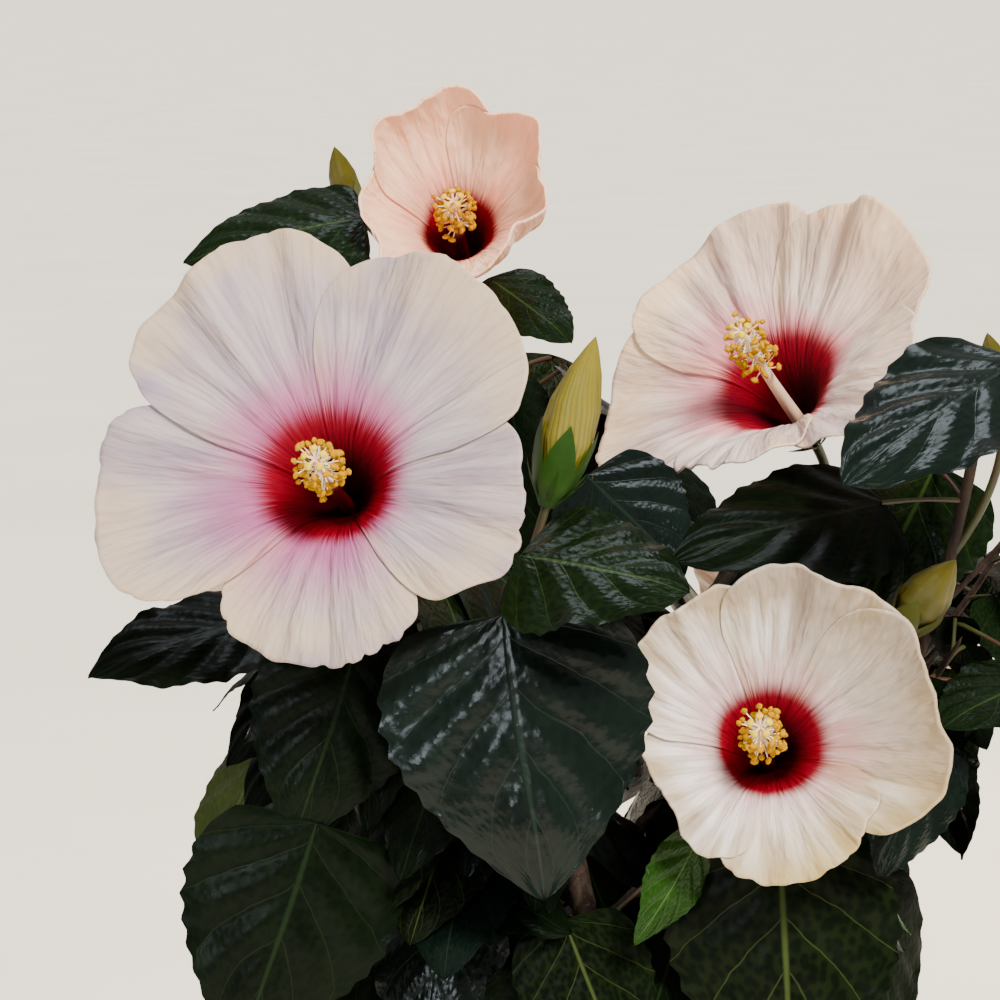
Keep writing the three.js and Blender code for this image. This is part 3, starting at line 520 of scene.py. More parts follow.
def grow_young(shoot, curve, ceiling, blooms, space, draw):
    """Young leaves along a stem or twig, each in the first of its turns and sizes that is clear."""
    joints = math.floor(length(curve, 20) / FINER_SPACING)
    turn = draw() * 2 * math.pi
    for joint in range(joints + 1):
        share = mix(0.3, 0.99, joint / max(1, joints))
        root, onward = curve(share), tangent(curve, share)
        for attempt, size in enumerate(FINER_SIZES):
            leaf = ruled_leaf(root, onward, turn + RETRY_TURN * attempt, draw, size)
            if any(outside_crown(end, ceiling, blooms) for end in leaf_ends(leaf)):
                continue
            stalk = strip(mix(leaf["root"], leaf["foot"], 0.25), leaf["foot"], 0.6)
            points = coarse_leaf(leaf, 1.05)
            if space.touches(points, COARSE_FACES) or space.touches(*stalk):
                continue
            space.add(points, COARSE_FACES)
            shoot["leaves"].append({**leaf, "young": True})
            break
        turn += LEAF_TURN


# Meshes
def deselect():
    if bpy.context.object and bpy.context.object.mode != "OBJECT":
        bpy.ops.object.mode_set(mode="OBJECT")
    bpy.ops.object.select_all(action="DESELECT")


def taken(made):
    """A primitive's points and faces, with the primitive itself removed."""
    points = np.array([vertex.co[:] for vertex in made.data.vertices])
    faces = np.array([face.vertices[:] for face in made.data.polygons])
    bpy.data.meshes.remove(made.data)
    return points, faces


@lru_cache
def ball(subdivisions):
    """A ball modelled once."""
    deselect()
    bpy.ops.mesh.primitive_ico_sphere_add(subdivisions=subdivisions, radius=1)
    return taken(bpy.context.object)


@lru_cache
def grid(across, along):
    """A grid modelled once: its places across from -1 to 1 and along from 0 to 1, and its faces."""
    deselect()
    bpy.ops.mesh.primitive_grid_add(x_subdivisions=across, y_subdivisions=along, size=2)
    points, faces = taken(bpy.context.object)
    return points[:, 0], (points[:, 1] + 1) / 2, faces


def laid(points, faces, across, along, finish=0, out=0):
    """A part of a piece: its points in millimetres, its faces, its maps and the place of its finish."""
    return points, faces, np.column_stack([across / 2 + 0.5, along, out + 0 * along, 0 * along]), finish


def piece(name, parts, materials, nodes=()):
    """One mesh object from parts, with its finishes, that rides on the one body."""
    points = np.vstack([part[0] for part in parts]) * MM
    starts = np.cumsum([0, *[len(part[0]) for part in parts[:-1]]])
    faces = np.vstack([part[1] + start for part, start in zip(parts, starts)])
    places = np.vstack([part[2] for part in parts])
    finishes = np.concatenate([np.full(len(part[1]), part[3]) for part in parts])
    mesh = bpy.data.meshes.new(name)
    mesh.from_pydata(points.tolist(), [], faces.tolist())
    corners = np.empty(len(mesh.loops), dtype=int)
    mesh.loops.foreach_get("vertex_index", corners)
    for order, key in enumerate(("grown", "rim") if places[:, 2].any() else ("grown",)):
        layer = mesh.uv_layers.new(name=key)
        layer.data.foreach_set("uv", places[corners, 2 * order : 2 * order + 2].ravel())
    mesh.polygons.foreach_set("material_index", finishes)
    mesh.polygons.foreach_set("use_smooth", np.ones(len(faces), dtype=bool))
    for material in materials:
        mesh.materials.append(material)
    made = bpy.data.objects.new(name, mesh)
    bpy.context.collection.objects.link(made)
    edit(made)
    bpy.ops.mesh.remove_doubles(threshold=MERGE_DISTANCE)
    bpy.ops.object.mode_set(mode="OBJECT")
    return settled(made, nodes)


def edit(made):
    deselect()
    made.select_set(True)
    bpy.context.view_layer.objects.active = made
    bpy.ops.object.mode_set(mode="EDIT")
    bpy.ops.mesh.select_mode(type="VERT")
    bpy.ops.mesh.select_all(action="SELECT")


def settled(made, nodes=()):
    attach(made, "root")
    if nodes:
        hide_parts(*nodes)
    return made


def apply_modifier(made, kind, **settings):
    modifier = made.modifiers.new(kind.title(), kind)
    for key, value in settings.items():
        setattr(modifier, key, value)
    deselect()
    made.select_set(True)
    bpy.context.view_layer.objects.active = made
    bpy.ops.object.modifier_apply(modifier=modifier.name)


# Radii along a limb, as functions of a share from 0 to 1
def tapering(first, last):
    return lambda share: mix(first, last, share)


def even(radius):
    return tapering(radius, radius)


def tube(curve, radius_at, sides, steps, relief=None, closed=0, finish=0):
    """A limb of round section along a curve. relief(angle, share) adds to its radius, and closed is the share
    of its length over which its end rounds off."""
    across, along, faces = grid(sides, steps)
    levels, rows = np.unique(along.round(7), return_inverse=True)
    side = vector((1, 0.3, 0.2))
    frames = []
    for share in levels:
        onward = tangent(curve, share)
        side = unit(side - onward * np.dot(side, onward))
        frames.append((curve(share), side, np.cross(onward, side)))
    centres, firsts, seconds = (np.array(each)[rows] for each in zip(*frames))
    radii = radius_at(along) * np.ones_like(along)
    angle = across * math.pi
    if relief is not None:
        radii = radii + relief(angle, along)
    if closed:
        radii = radii * np.sqrt(np.clip(1 - eased(along, 1 - closed, 1) ** 2, 0, 1))
    points = centres + firsts * (np.cos(angle) * radii)[:, None] + seconds * (np.sin(angle) * radii)[:, None]
    return laid(points, faces, across, along, finish)


# Finishes
def mix_colour(a, b, share):
    return tuple(mix(x, y, share) for x, y in zip(a, b))


def dimmed(colour, share):
    return tuple(channel * share for channel in colour)


def new_material(name, roughness=0.5, **sockets):
    material = bpy.data.materials.new(name)
    material.use_nodes = True
    shader = material.node_tree.nodes["Principled BSDF"]
    shader.inputs["Roughness"].default_value = roughness
    for key, value in sockets.items():
        shader.inputs[key.replace("_", " ")].default_value = value
    return material, shader


class Nodes:
    """Short ways to add a material's nodes."""

    def __init__(self, material):
        self.tree = material.node_tree

    def add(self, kind, settings=None, **inputs):
        node = self.tree.nodes.new(kind)
        for key, value in (settings or {}).items():
            setattr(node, key, value)
        for key, value in inputs.items():
            self.set(node.inputs[key.replace("_", " ")], value)
        return node

    def set(self, socket, value):
        if isinstance(value, bpy.types.NodeSocket):
            self.tree.links.new(value, socket)
        else:
            socket.default_value = value

    def math(self, operation, *values):
        node = self.tree.nodes.new("ShaderNodeMath")
        node.operation = operation
        for socket, value in zip(node.inputs, values):
            self.set(socket, value)
        return node.outputs[0]

    def ramp(self, value, low, high, start=0.0, end=1.0):
        node = self.add("ShaderNodeMapRange", {"interpolation_type": "SMOOTHSTEP"}, Value=value)
        for key, number in (("From Min", low), ("From Max", high), ("To Min", start), ("To Max", end)):
            self.set(node.inputs[key], number)
        return node.outputs[0]

    def blend(self, share, a, b, kind="MIX"):
        node = self.add("ShaderNodeMix", {"data_type": "RGBA", "blend_type": kind})
        factor, first, second = (node.inputs[i] for i in (0, 6, 7))
        self.set(factor, share)
        self.set(first, (*a, 1) if isinstance(a, tuple) else a)
        self.set(second, (*b, 1) if isinstance(b, tuple) else b)
        return node.outputs[2]

    def place(self):
        """The piece's own map: across from -1 to 1, and along from 0 to 1."""
        own_map = self.add("ShaderNodeUVMap", {"uv_map": "grown"})
        split = self.add("ShaderNodeSeparateXYZ", Vector=own_map.outputs[0])
        return self.math("MULTIPLY_ADD", split.outputs[0], 2.0, -1.0), split.outputs[1]

    def rim(self):
        """How far out to its petal's rim a place is, from 0 to 1."""
        rim_map = self.add("ShaderNodeUVMap", {"uv_map": "rim"})
        return self.add("ShaderNodeSeparateXYZ", Vector=rim_map.outputs[0]).outputs[0]

    def toward(self, where, seat, way):
        """How far a place lies from the seat along a way, in shares of the way's own scale."""
        centre = -sum(a * b * MM for a, b in zip(seat, way))
        node = self.add("ShaderNodeVectorMath", {"operation": "DOT_PRODUCT"})
        self.set(node.inputs[0], where)
        self.set(node.inputs[1], way)
        return self.add("ShaderNodeClamp", Value=self.math("ADD", node.outputs["Value"], centre)).outputs[0]

    def point(self, x, y, z=0.0):
        node = self.tree.nodes.new("ShaderNodeCombineXYZ")
        for socket, value in zip(node.inputs, (x, y, z)):
            self.set(socket, value)
        return node.outputs[0]

    def drawn(self, across, along, wide, long):
        """A place with its two ways scaled apart, so that a pattern is drawn out along one of them."""
        return self.point(self.math("MULTIPLY", across, wide), self.math("MULTIPLY", along, long))

    def from_half(self, course):
        """How far a course is from the middle between two whole numbers."""
        return self.math("ABSOLUTE", self.math("SUBTRACT", self.math("FRACT", course), 0.5))

    def noise(self, where, scale, detail=3.0, roughness=0.5):
        node = self.add("ShaderNodeTexNoise", Vector=where, Scale=scale, Detail=detail, Roughness=roughness)
        return node.outputs["Fac"]

    def object_place(self):
        return self.add("ShaderNodeTexCoord").outputs["Object"]

    def bump(self, shader, height, strength, distance):
        node = self.add("ShaderNodeBump", Strength=strength, Distance=distance, Height=height)
        self.tree.links.new(node.outputs[0], shader.inputs["Normal"])


RIBS = 4.6
RIB_LEAN = 1.9


def leaf_material(name, blade, vein, veins, roughness, relief, gloss):
    """A leaf's finish: its ribs, sunk into a glossy blade, and the faint net between them."""
    material, shader = new_material(name, roughness, Specular_IOR_Level=gloss)
    nodes = Nodes(material)
    across, along = nodes.place()
    off = nodes.math("ABSOLUTE", across)
    where = nodes.object_place()
    cloud = nodes.noise(where, 48.0, 3.0)
    rib = nodes.ramp(off, 0.006, 0.04, 1.0, 0.0)
    rise = nodes.math("MULTIPLY", nodes.math("POWER", along, 0.8), RIBS)
    lean = nodes.math("MULTIPLY", nodes.math("POWER", off, 0.85), RIB_LEAN)
    wobble = nodes.math("MULTIPLY", nodes.math("SUBTRACT", cloud, 0.5), 0.4)
    course = nodes.math("ADD", nodes.math("SUBTRACT", rise, lean), wobble)
    far = nodes.from_half(course)
    side_rib = nodes.ramp(far, 0.002, nodes.ramp(off, 0.0, 1.0, 0.036, 0.014), 1.0, 0.0)
    net = nodes.add(
        "ShaderNodeTexVoronoi",
        {"feature": "SMOOTH_F1", "voronoi_dimensions": "2D"},
        Vector=nodes.drawn(across, along, 1.0, 2.0),
        Scale=13.0,
    ).outputs["Distance"]
    ribs = nodes.math("MAXIMUM", rib, nodes.math("MULTIPLY", side_rib, 0.62))
    shade = nodes.blend(nodes.ramp(cloud, 0.3, 0.72), blade, dimmed(blade, 0.55))
    shade = nodes.blend(nodes.ramp(net, 0.2, 0.6, 0.0, 0.06), shade, vein)
    nodes.set(shader.inputs["Base Color"], nodes.blend(nodes.math("MULTIPLY", ribs, veins), shade, vein))
    fine = nodes.noise(where, 210.0, 3.0)
    nodes.set(shader.inputs["Roughness"], nodes.ramp(fine, 0.25, 0.75, roughness - 0.05, roughness + 0.06))
    swell = nodes.math("MULTIPLY", net, -0.9)
    height = nodes.math("ADD", nodes.math("ADD", nodes.math("MULTIPLY", ribs, -0.6), swell), fine)
    nodes.bump(shader, height, relief, 0.001)
    return material


PETAL_VEINS = 17
PETAL_REACH = 1.25  # how far out the map of the petals goes, as a share of a bloom's petal length


def petal_material(name, seat, heart, looks):
    """A petal's finish: a red heart that feathers out along the veins, a halo round it and a paler edge."""
    reach, halo, shade = looks["reach"], looks["halo"], looks["shade"]
    material, shader = new_material(
        name, 0.5, Specular_IOR_Level=0.12,
        Subsurface_Weight=0.5, Subsurface_Radius=(0.003, 0.002, 0.0016), Subsurface_Scale=0.5,
    )
    nodes = Nodes(material)
    across, map_out = nodes.place()
    along = nodes.math("MULTIPLY", map_out, PETAL_REACH)
    off = nodes.math("ABSOLUTE", across)
    out = nodes.rim()
    where = nodes.object_place()
    drift = nodes.noise(nodes.drawn(across, along, 1.0, 0.8), 3.0, 2.0)
    course = nodes.math("MULTIPLY_ADD", across, PETAL_VEINS / 2, nodes.math("MULTIPLY", drift, 1.5))
    far = nodes.from_half(course)
    near = nodes.from_half(nodes.math("MULTIPLY_ADD", course, 2.0, 0.5))
    first = nodes.ramp(far, 0.0, 0.16, 1.0, 0.0)
    second = nodes.math("MULTIPLY", nodes.ramp(near, 0.0, 0.22, 0.7, 0.0), nodes.ramp(along, 0.4, 0.65))
    veins = nodes.math("MAXIMUM", first, second)
    faint = nodes.noise(nodes.point(nodes.math("MULTIPLY", across, 2.0), along, 4.0), 2.0, 2.0)
    veins = nodes.math("MULTIPLY", veins, nodes.ramp(faint, 0.35, 0.65, 0.35, 1.0))
    cloud = nodes.noise(where, 26.0, 2.0)
    # The darker tone comes in radial streaks. It is painted deeper towards one side of the bloom along
    # shade_way as painted shade, and in broad noise patches of painted shade that stand for the shading of
    # folds.
    rays = nodes.ramp(nodes.noise(nodes.drawn(across, along, 3.2, 0.9), 2.2, 2.0), 0.36, 0.64)
    shaded = nodes.math("MULTIPLY_ADD", rays, 0.6, nodes.toward(where, seat, looks["shade_way"]))
    painted_fold_shade = nodes.ramp(nodes.noise(where, 24.0, 2.0), 0.44, 0.66, 0.0, 0.6)
    pale = nodes.blend(nodes.math("MINIMUM", nodes.math("ADD", shaded, painted_fold_shade), 1.0), looks["petal"], shade)
    rim = nodes.math("MAXIMUM", nodes.ramp(out, 0.55, 1.0), nodes.ramp(off, 0.6, 1.0, 0.0, 0.8))
    warm = nodes.math("MULTIPLY", rim, nodes.ramp(cloud, 0.35, 0.6, 0.05, looks["rims"]))
    edge_side = nodes.toward(where, seat, looks["edge_way"])
    warmer = nodes.math("MULTIPLY", edge_side, nodes.ramp(out, 0.3, 0.95, 0.25, 1.0))
    pale = nodes.blend(nodes.math("MAXIMUM", warm, warmer), pale, looks["edge"])
    lines = looks["lines"]
    line = nodes.math("MULTIPLY", veins, nodes.ramp(along, reach, 1.0, lines, lines * 0.35))
    pale = nodes.blend(line, pale, dimmed(mix_colour(shade, halo, 0.2), 0.62))
    streak = nodes.noise(nodes.drawn(across, along, 19.0, 0.8), 2.6, 3.0)
    feather = nodes.math("MULTIPLY", nodes.math("SUBTRACT", streak, 0.5), looks["feathers"])
    fringe = nodes.math("SUBTRACT", nodes.math("ADD", along, feather), nodes.math("MULTIPLY", veins, 0.008))
    side = nodes.math("ADD", nodes.noise(where, 20.0, 1.0), nodes.toward(where, seat, looks["flush_way"]))
    flush_end = nodes.ramp(side, 0.35, 0.65, reach + 0.1, reach + 0.4)
    flush = nodes.ramp(fringe, reach - 0.02, flush_end, looks["glow"], 0.0)
    flushed = nodes.blend(flush, pale, halo)
    core = nodes.ramp(fringe, reach - 0.05, reach + 0.05, 1.0, 0.0)
    red = nodes.blend(core, flushed, heart)
    # Towards the throat the heart goes to near black red. This is partly its own maroon and partly painted
    # shade in the throat's hollow.
    dark = dimmed(heart, 0.1)
    maroon_and_throat_shade = nodes.ramp(fringe, reach * 0.4, reach * 0.95, 0.97, 0.0)
    ribbed = nodes.blend(nodes.math("MULTIPLY", veins, nodes.math("MULTIPLY", core, 0.3)), red, dark)
    nodes.set(shader.inputs["Base Color"], nodes.blend(maroon_and_throat_shade, ribbed, dark))
    fine = nodes.noise(nodes.drawn(across, along, 46.0, 7.0), 2.0, 3.0)
    soft = nodes.noise(nodes.drawn(across, along, 4.0, 2.2), 2.0, 2.0)
    height = nodes.math("SUBTRACT", nodes.math("MULTIPLY", fine, 0.3), nodes.math("MULTIPLY", veins, 0.14))
    nodes.bump(shader, nodes.math("MULTIPLY_ADD", soft, 3.4, height), 0.6, 0.0016)
    return material


def plain_material(name, colour, other, scale, roughness, bump=0.3, distance=0.0004, **sockets):
    """A finish that varies softly between two colours, with a fine relief."""
    material, shader = new_material(name, roughness, **sockets)
    nodes = Nodes(material)
    where = nodes.object_place()
    cloud = nodes.noise(where, scale, 4.0, 0.6)
    nodes.set(shader.inputs["Base Color"], nodes.blend(nodes.ramp(cloud, 0.35, 0.68), colour, other))
    nodes.bump(shader, nodes.noise(where, scale * 3, 3.0), bump, distance)
    return material


def furled_material(name, pale, line):
    """Furled petals: pale, with greener veins that wind round the bud."""
    material, shader = new_material(name, 0.45)
    nodes = Nodes(material)
    across, along = nodes.place()
    cloud = nodes.noise(nodes.object_place(), 90.0, 3.0)
    course = nodes.math("ADD", nodes.math("MULTIPLY", across, 15.0), nodes.math("MULTIPLY", along, 4.97))
    course = nodes.math("ADD", course, nodes.math("MULTIPLY", cloud, 0.9))
    far = nodes.from_half(course)
    veins = nodes.ramp(far, 0.04, 0.3, 0.6, 0.0)
    veins = nodes.math("MULTIPLY", veins, nodes.ramp(along, 0.35, 1.0, 1.0, 0.35))
    colour = nodes.blend(nodes.ramp(cloud, 0.35, 0.7, 0.0, 0.25), pale, line)
    nodes.set(shader.inputs["Base Color"], nodes.blend(veins, colour, line))
    nodes.bump(shader, nodes.math("MULTIPLY", veins, -1.0), 0.4, 0.0004)
    return material


COLUMN_PEACH = (0.78, 0.46, 0.3)
COLUMN_TIP = (0.8, 0.62, 0.4)


def column_material(name, heart, low, high):
    """The column: red at its foot, and peach further out."""
    material, shader = new_material(
        name, 0.42, Subsurface_Weight=0.3, Subsurface_Radius=(0.002, 0.001, 0.001)
    )
    nodes = Nodes(material)
    _, along = nodes.place()
    cloud = nodes.noise(nodes.object_place(), 160.0, 3.0)
    out = nodes.math("ADD", along, nodes.math("MULTIPLY", nodes.math("SUBTRACT", cloud, 0.5), 0.3))
    colour = nodes.blend(nodes.ramp(out, low, high), heart, COLUMN_PEACH)
    colour = nodes.blend(nodes.ramp(out, high, high + 0.4), colour, COLUMN_TIP)
    nodes.set(shader.inputs["Base Color"], colour)
    nodes.bump(shader, cloud, 0.3, 0.0004)
    return material


def bark_material(name, colour, crack, scale):
    """Young bark: drawn out along the limb, with pale pores and dark cracks."""
    material, shader = new_material(name, 0.78)
    nodes = Nodes(material)
    where = nodes.object_place()
    drawn_out = nodes.add("ShaderNodeMapping", Vector=where, Scale=(1.0, 1.0, 0.25)).outputs[0]
    grain = nodes.noise(drawn_out, scale, 5.0, 0.65)
    pores = nodes.noise(where, scale * 2.4, 2.0)
    base = nodes.blend(nodes.ramp(grain, 0.38, 0.66), crack, colour)
    light = nodes.ramp(pores, 0.64, 0.7)
    pore = tuple(min(1, channel * 1.7) for channel in colour)
    nodes.set(shader.inputs["Base Color"], nodes.blend(nodes.math("MULTIPLY", light, 0.6), base, pore))
    nodes.bump(shader, nodes.math("ADD", grain, nodes.math("MULTIPLY", light, 0.2)), 0.7, 0.0012)
    return material


def clay_material(colour):
    """Fired clay: fine turning lines and a pale bloom of salts low down."""
    material, shader = new_material("fired_clay", 0.85)
    nodes = Nodes(material)
    where = nodes.object_place()
    height = nodes.add("ShaderNodeSeparateXYZ", Vector=where).outputs[2]
    cloud = nodes.noise(where, 16.0, 5.0, 0.6)
    grit = nodes.noise(where, 900.0, 2.0)
    turning = nodes.add("ShaderNodeMapping", Vector=where, Scale=(0.3, 0.3, 14.0)).outputs[0]
    lines = nodes.noise(turning, 40.0, 2.0)
    base = nodes.blend(nodes.ramp(cloud, 0.35, 0.7), colour, dimmed(colour, 0.74))
    salts = nodes.math("MULTIPLY", nodes.ramp(cloud, 0.5, 0.72), nodes.ramp(height, 0.02, 0.1, 0.4, 0.06))
    pale = nodes.blend(salts, base, (0.62, 0.5, 0.42))
    specks = nodes.math("MULTIPLY", nodes.ramp(grit, 0.62, 0.72), 0.35)
    nodes.set(shader.inputs["Base Color"], nodes.blend(specks, pale, (0.34, 0.15, 0.09)))
    relief = nodes.math("ADD", nodes.math("MULTIPLY", lines, 0.6), nodes.math("MULTIPLY", grit, 0.4))
    nodes.bump(shader, relief, 0.35, 0.0006)
    return material


# What a user would change
class PotSettings(bpy.types.PropertyGroup):
    sides: IntProperty(name="Sides", description="Facets round the pot", default=96, min=24, max=256)
    rounding: FloatProperty(
        name="Rounding", description="Radius of the pot's edges",
        default=0.0012, unit="LENGTH", subtype="DISTANCE",
    )
    clay: FloatVectorProperty(
        name="Clay", description="Colour of the fired clay",
        default=(0.3, 0.088, 0.032), subtype="COLOR", min=0, max=1,
    )
    crumbs: IntProperty(name="Crumbs", description="Loose crumbs on the soil", default=420, min=0, max=2000)


class WoodSettings(bpy.types.PropertyGroup):
    relief: FloatProperty(
        name="Relief", description="Depth of the bark's relief",
        default=0.0006, unit="LENGTH", subtype="DISTANCE",
    )
    bark: FloatVectorProperty(
        name="Bark", description="Colour of the old bark",
        default=(0.2, 0.14, 0.1), subtype="COLOR", min=0, max=1,
    )
    twig: FloatVectorProperty(
        name="Twigs", description="Colour of young wood",
        default=(0.028, 0.014, 0.009), subtype="COLOR", min=0, max=1,
    )


class LeafSettings(bpy.types.PropertyGroup):
    roughness: FloatProperty(
        name="Roughness", description="Roughness of a blade", default=0.22, subtype="FACTOR"
    )
    teeth: FloatProperty(
        name="Teeth", description="Depth of the margin's teeth", default=0.055, subtype="FACTOR"
    )
    quilt: FloatProperty(
        name="Quilting", description="How far a blade swells between its ribs", default=0.0006, unit="LENGTH"
    )
    dark: FloatVectorProperty(
        name="Dark", description="Most blades' colour",
        default=(0.0018, 0.004, 0.0014), subtype="COLOR", min=0, max=1,
    )
    bright: FloatVectorProperty(
        name="Bright", description="Colour of young blades",
        default=(0.009, 0.032, 0.003), subtype="COLOR", min=0, max=1,
    )


class BloomSettings(bpy.types.PropertyGroup):
    thickness: FloatProperty(
        name="Thickness", description="Thickness of a petal",
        default=0.0007, unit="LENGTH", subtype="DISTANCE",
    )
    anthers: IntProperty(name="Anthers", description="Anthers on each column", default=72, min=10, max=200)
    heart: FloatVectorProperty(
        name="Heart", description="Colour of a bloom's heart",
        default=(0.2, 0.0, 0.009), subtype="COLOR", min=0, max=1,
    )
    pollen: FloatVectorProperty(
        name="Pollen", description="Colour of the anthers",
        default=(0.5, 0.25, 0.0), subtype="COLOR", min=0, max=1,
    )


class StageSettings(bpy.types.PropertyGroup):
    day: FloatProperty(name="Daylight", description="Strength of the even daylight", default=8.4, min=0)
    window: FloatProperty(
        name="Window", description="Power of the soft window light", default=11.0, unit="POWER"
    )
    warm: FloatProperty(
        name="Warm", description="Power of the warm light behind", default=16.0, unit="POWER"
    )
    world: FloatProperty(name="Surroundings", description="Strength of the even light", default=0.4, min=0)
    floor: FloatVectorProperty(
        name="Floor", description="Colour of the floor",
        default=(1.0, 0.93, 0.8), subtype="COLOR", min=0, max=1,
    )


# Pot and soil, in metres
POT_WALL = 0.007
POT_EDGE = 0.003
POT_TAPER = 0.025
RIM_STEP = 0.008


class HIBISCUS_OT_pot(bpy.types.Operator):
    """Models the clay pot from a disc, drawn up ring by ring"""

    bl_idname = "hibiscus.pot"
    bl_label = "Pot"

    def execute(self, context):
        settings = context.scene.hibiscus_pot
        low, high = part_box("pot")
        rim = (high[0] - low[0]) / 2
        top = high[2]
        foot, body, lip = rim - POT_TAPER, rim - RIM_STEP, top - RIM_DEPTH * MM
        middle = mix(foot, body, 0.5)
        wall, edge = POT_WALL, POT_EDGE
        deselect()
        bpy.ops.mesh.primitive_circle_add(
            vertices=settings.sides, radius=foot - edge, fill_type="NGON", location=(0, 0, 0)
        )
        pot = context.object
        pot.name = pot.data.name = "clay_pot"
        edit(pot)
        rings = [
            (foot, edge), (middle, lip / 2), (body, lip - edge / 2),
            (rim - edge, lip), (rim, lip + edge), (rim, top - edge), (rim - edge, top),
            (rim - wall, top), (body - wall, lip), (middle - wall, lip / 2), (foot - wall, wall),
        ]
        radius, height = foot - edge, 0.0
        for next_radius, next_height in rings:
            bpy.ops.mesh.extrude_region_move(TRANSFORM_OT_translate={"value": (0, 0, next_height - height)})
            scale = next_radius / radius
            bpy.ops.transform.resize(value=(scale, scale, 1), center_override=(0, 0, next_height))
            radius, height = next_radius, next_height
        bpy.ops.mesh.select_all(action="SELECT")
        bpy.ops.mesh.normals_make_consistent(inside=False)
        bpy.ops.object.mode_set(mode="OBJECT")
        apply_modifier(
            pot, "BEVEL", width=settings.rounding, segments=3, limit_method="ANGLE",
            angle_limit=math.radians(20),
        )
        bpy.ops.object.shade_smooth_by_angle(angle=math.radians(30))
        pot.data.materials.append(clay_material(tuple(settings.clay)))
        settled(pot, ["pot"])
        return {"FINISHED"}


class HIBISCUS_OT_soil(bpy.types.Operator):
    """Lays the potting soil, with its hollows and loose crumbs"""

    bl_idname = "hibiscus.soil"
    bl_label = "Soil"

    def execute(self, context):
        draws = np.random.default_rng(SOIL_SEED)
        low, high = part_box("soil")
        reach = (high[0] - low[0]) / 2 / MM
        across, along, faces = grid(128, 40)
        angle = across * math.pi
        radius = reach * along**0.8
        x, y = radius * np.cos(angle), radius * np.sin(angle)
        lumps = sum(
            np.sin(x * f + a) * np.cos(y * f * 1.1 + b) / f
            for f, a, b in ((0.12, 1, 2), (0.31, 4, 0), (0.74, 2, 5), (1.4, 0, 1))
        )
        level = SOIL_TOP - 1.5 + lumps * 0.26 - 1.2 * (1 - np.abs(2 * along - 1))
        crust = laid(np.column_stack([x, y, level]), faces, across, along)
        shape, crumb_faces = ball(1)
        crumbs = []
        flat = np.zeros(len(shape))
        for _ in range(context.scene.hibiscus_pot.crumbs):
            place = draws.uniform(0, 2 * math.pi)
            out = (reach - 3) * math.sqrt(draws.uniform(0.03, 1))
            size = draws.uniform(0.6, 2.2) * (1 if draws.uniform() > 0.12 else 1.6)
            stretched = shape * draws.uniform(0.6, 1.15, (1, 3))
            rough = stretched * draws.uniform(0.85, 1.15, (len(shape), 1)) * size
            where = vector((out * math.cos(place), out * math.sin(place), SOIL_TOP - 2.6 + size * 0.4))
            finish = 1 if draws.uniform() < 0.06 else 0
            crumbs.append(laid(rough + where, crumb_faces, flat, flat, finish))
        peat = plain_material(
            "potting_soil", (0.03, 0.018, 0.011), (0.075, 0.045, 0.028), 190.0, 0.95, 0.9, 0.001
        )
        grit = plain_material("white_grit", (0.6, 0.58, 0.54), (0.4, 0.38, 0.35), 260.0, 0.9)
        piece("soil_crust", [crust], [peat], ["soil"])
        piece("soil_crumbs", crumbs, [peat, grit])
        return {"FINISHED"}


# Wood
def bark_relief(depth, seed):
    rng = np.random.default_rng(seed)
    waves = [(n, f, *rng.uniform(0, 6.28, 2)) for n, f in ((2, 9), (3, 17), (5, 31), (8, 44), (11, 75))]

    def relief(angle, share):
        total = 0
        for n, f, a, b in waves:
            winding = np.sin(n * angle + a + 2 * np.sin(f * share + b))
            total = total + winding * np.sin(f * share * 1.3 + b) / n**0.5
        return depth / MM * 0.6 * total

    return relief


def trunk_radius(share):
    return mix(*TRUNK_RADII, share) + (FLARE_RADIUS - TRUNK_RADII[0]) * np.maximum(0, 1 - share / 0.22) ** 2


class HIBISCUS_OT_wood(bpy.types.Operator):
    """Grows the trunk and its boughs, with the bark's relief"""

    bl_idname = "hibiscus.wood"
    bl_label = "Trunk and boughs"

    def execute(self, context):
        settings = context.scene.hibiscus_wood
        bark = bark_material("old_bark", tuple(settings.bark), dimmed(settings.bark, 0.3), 220.0)
        young = bark_material("young_bark", tuple(settings.twig), dimmed(settings.twig, 0.4), 300.0)
        grown = plant()
        relief = bark_relief(settings.relief, RELIEF_SEEDS["trunk"])
        limbs = [tube(grown["trunk"], trunk_radius, 48, 110, relief, 0.06)]
        nodes = ["trunk"]
        for order, (name, shoot) in enumerate(grown["shoots"].items()):
            if shoot["bare"]:
                bough = stretch(shoot["whole"], 0, shoot["bare"])
                relief = bark_relief(settings.relief * 0.5, RELIEF_SEEDS["bough"] + order)
                limbs.append(tube(bough, tapering(*BOUGH_RADII), 24, 70, relief))
                nodes.append(f"bough_{name}")
        piece("barked_limbs", limbs, [bark], nodes)
        stems = []
        for order, shoot in enumerate(grown["shoots"].values()):
            bare = shoot["bare"]

            def stem_radius(share, start=shoot["start"], bare=bare):
                return mix(BOUGH_RADII[1], STEM_TIP_RADIUS, (mix(start, 1, share) - bare) / (1 - bare))

            relief = bark_relief(settings.relief * 0.3, RELIEF_SEEDS["stem"] + order)
            stems.append(tube(shoot["stem"], stem_radius, 14, 50, relief, 0.02))
            for twig in shoot["twigs"]:
                stems.append(tube(twig, tapering(*TWIG_RADII), 8, 14, None, 0.05))
            for twig in shoot["finer"]:
                stems.append(tube(twig, tapering(*FINER_TWIG_RADII), 7, 10, None, 0.05))
        piece("stems_and_twigs", stems, [young])
        return {"FINISHED"}


# Leaves
TINTS = ("dark", "mid", "cool", "veined", "olive", "bright")
TINT_CHANCES = (0.5, 0.74, 0.9, 0.95, 0.98)
BLADE_GRIDS = {"shown": (30, 88), "ruled": (14, 46), "young": (10, 32)}


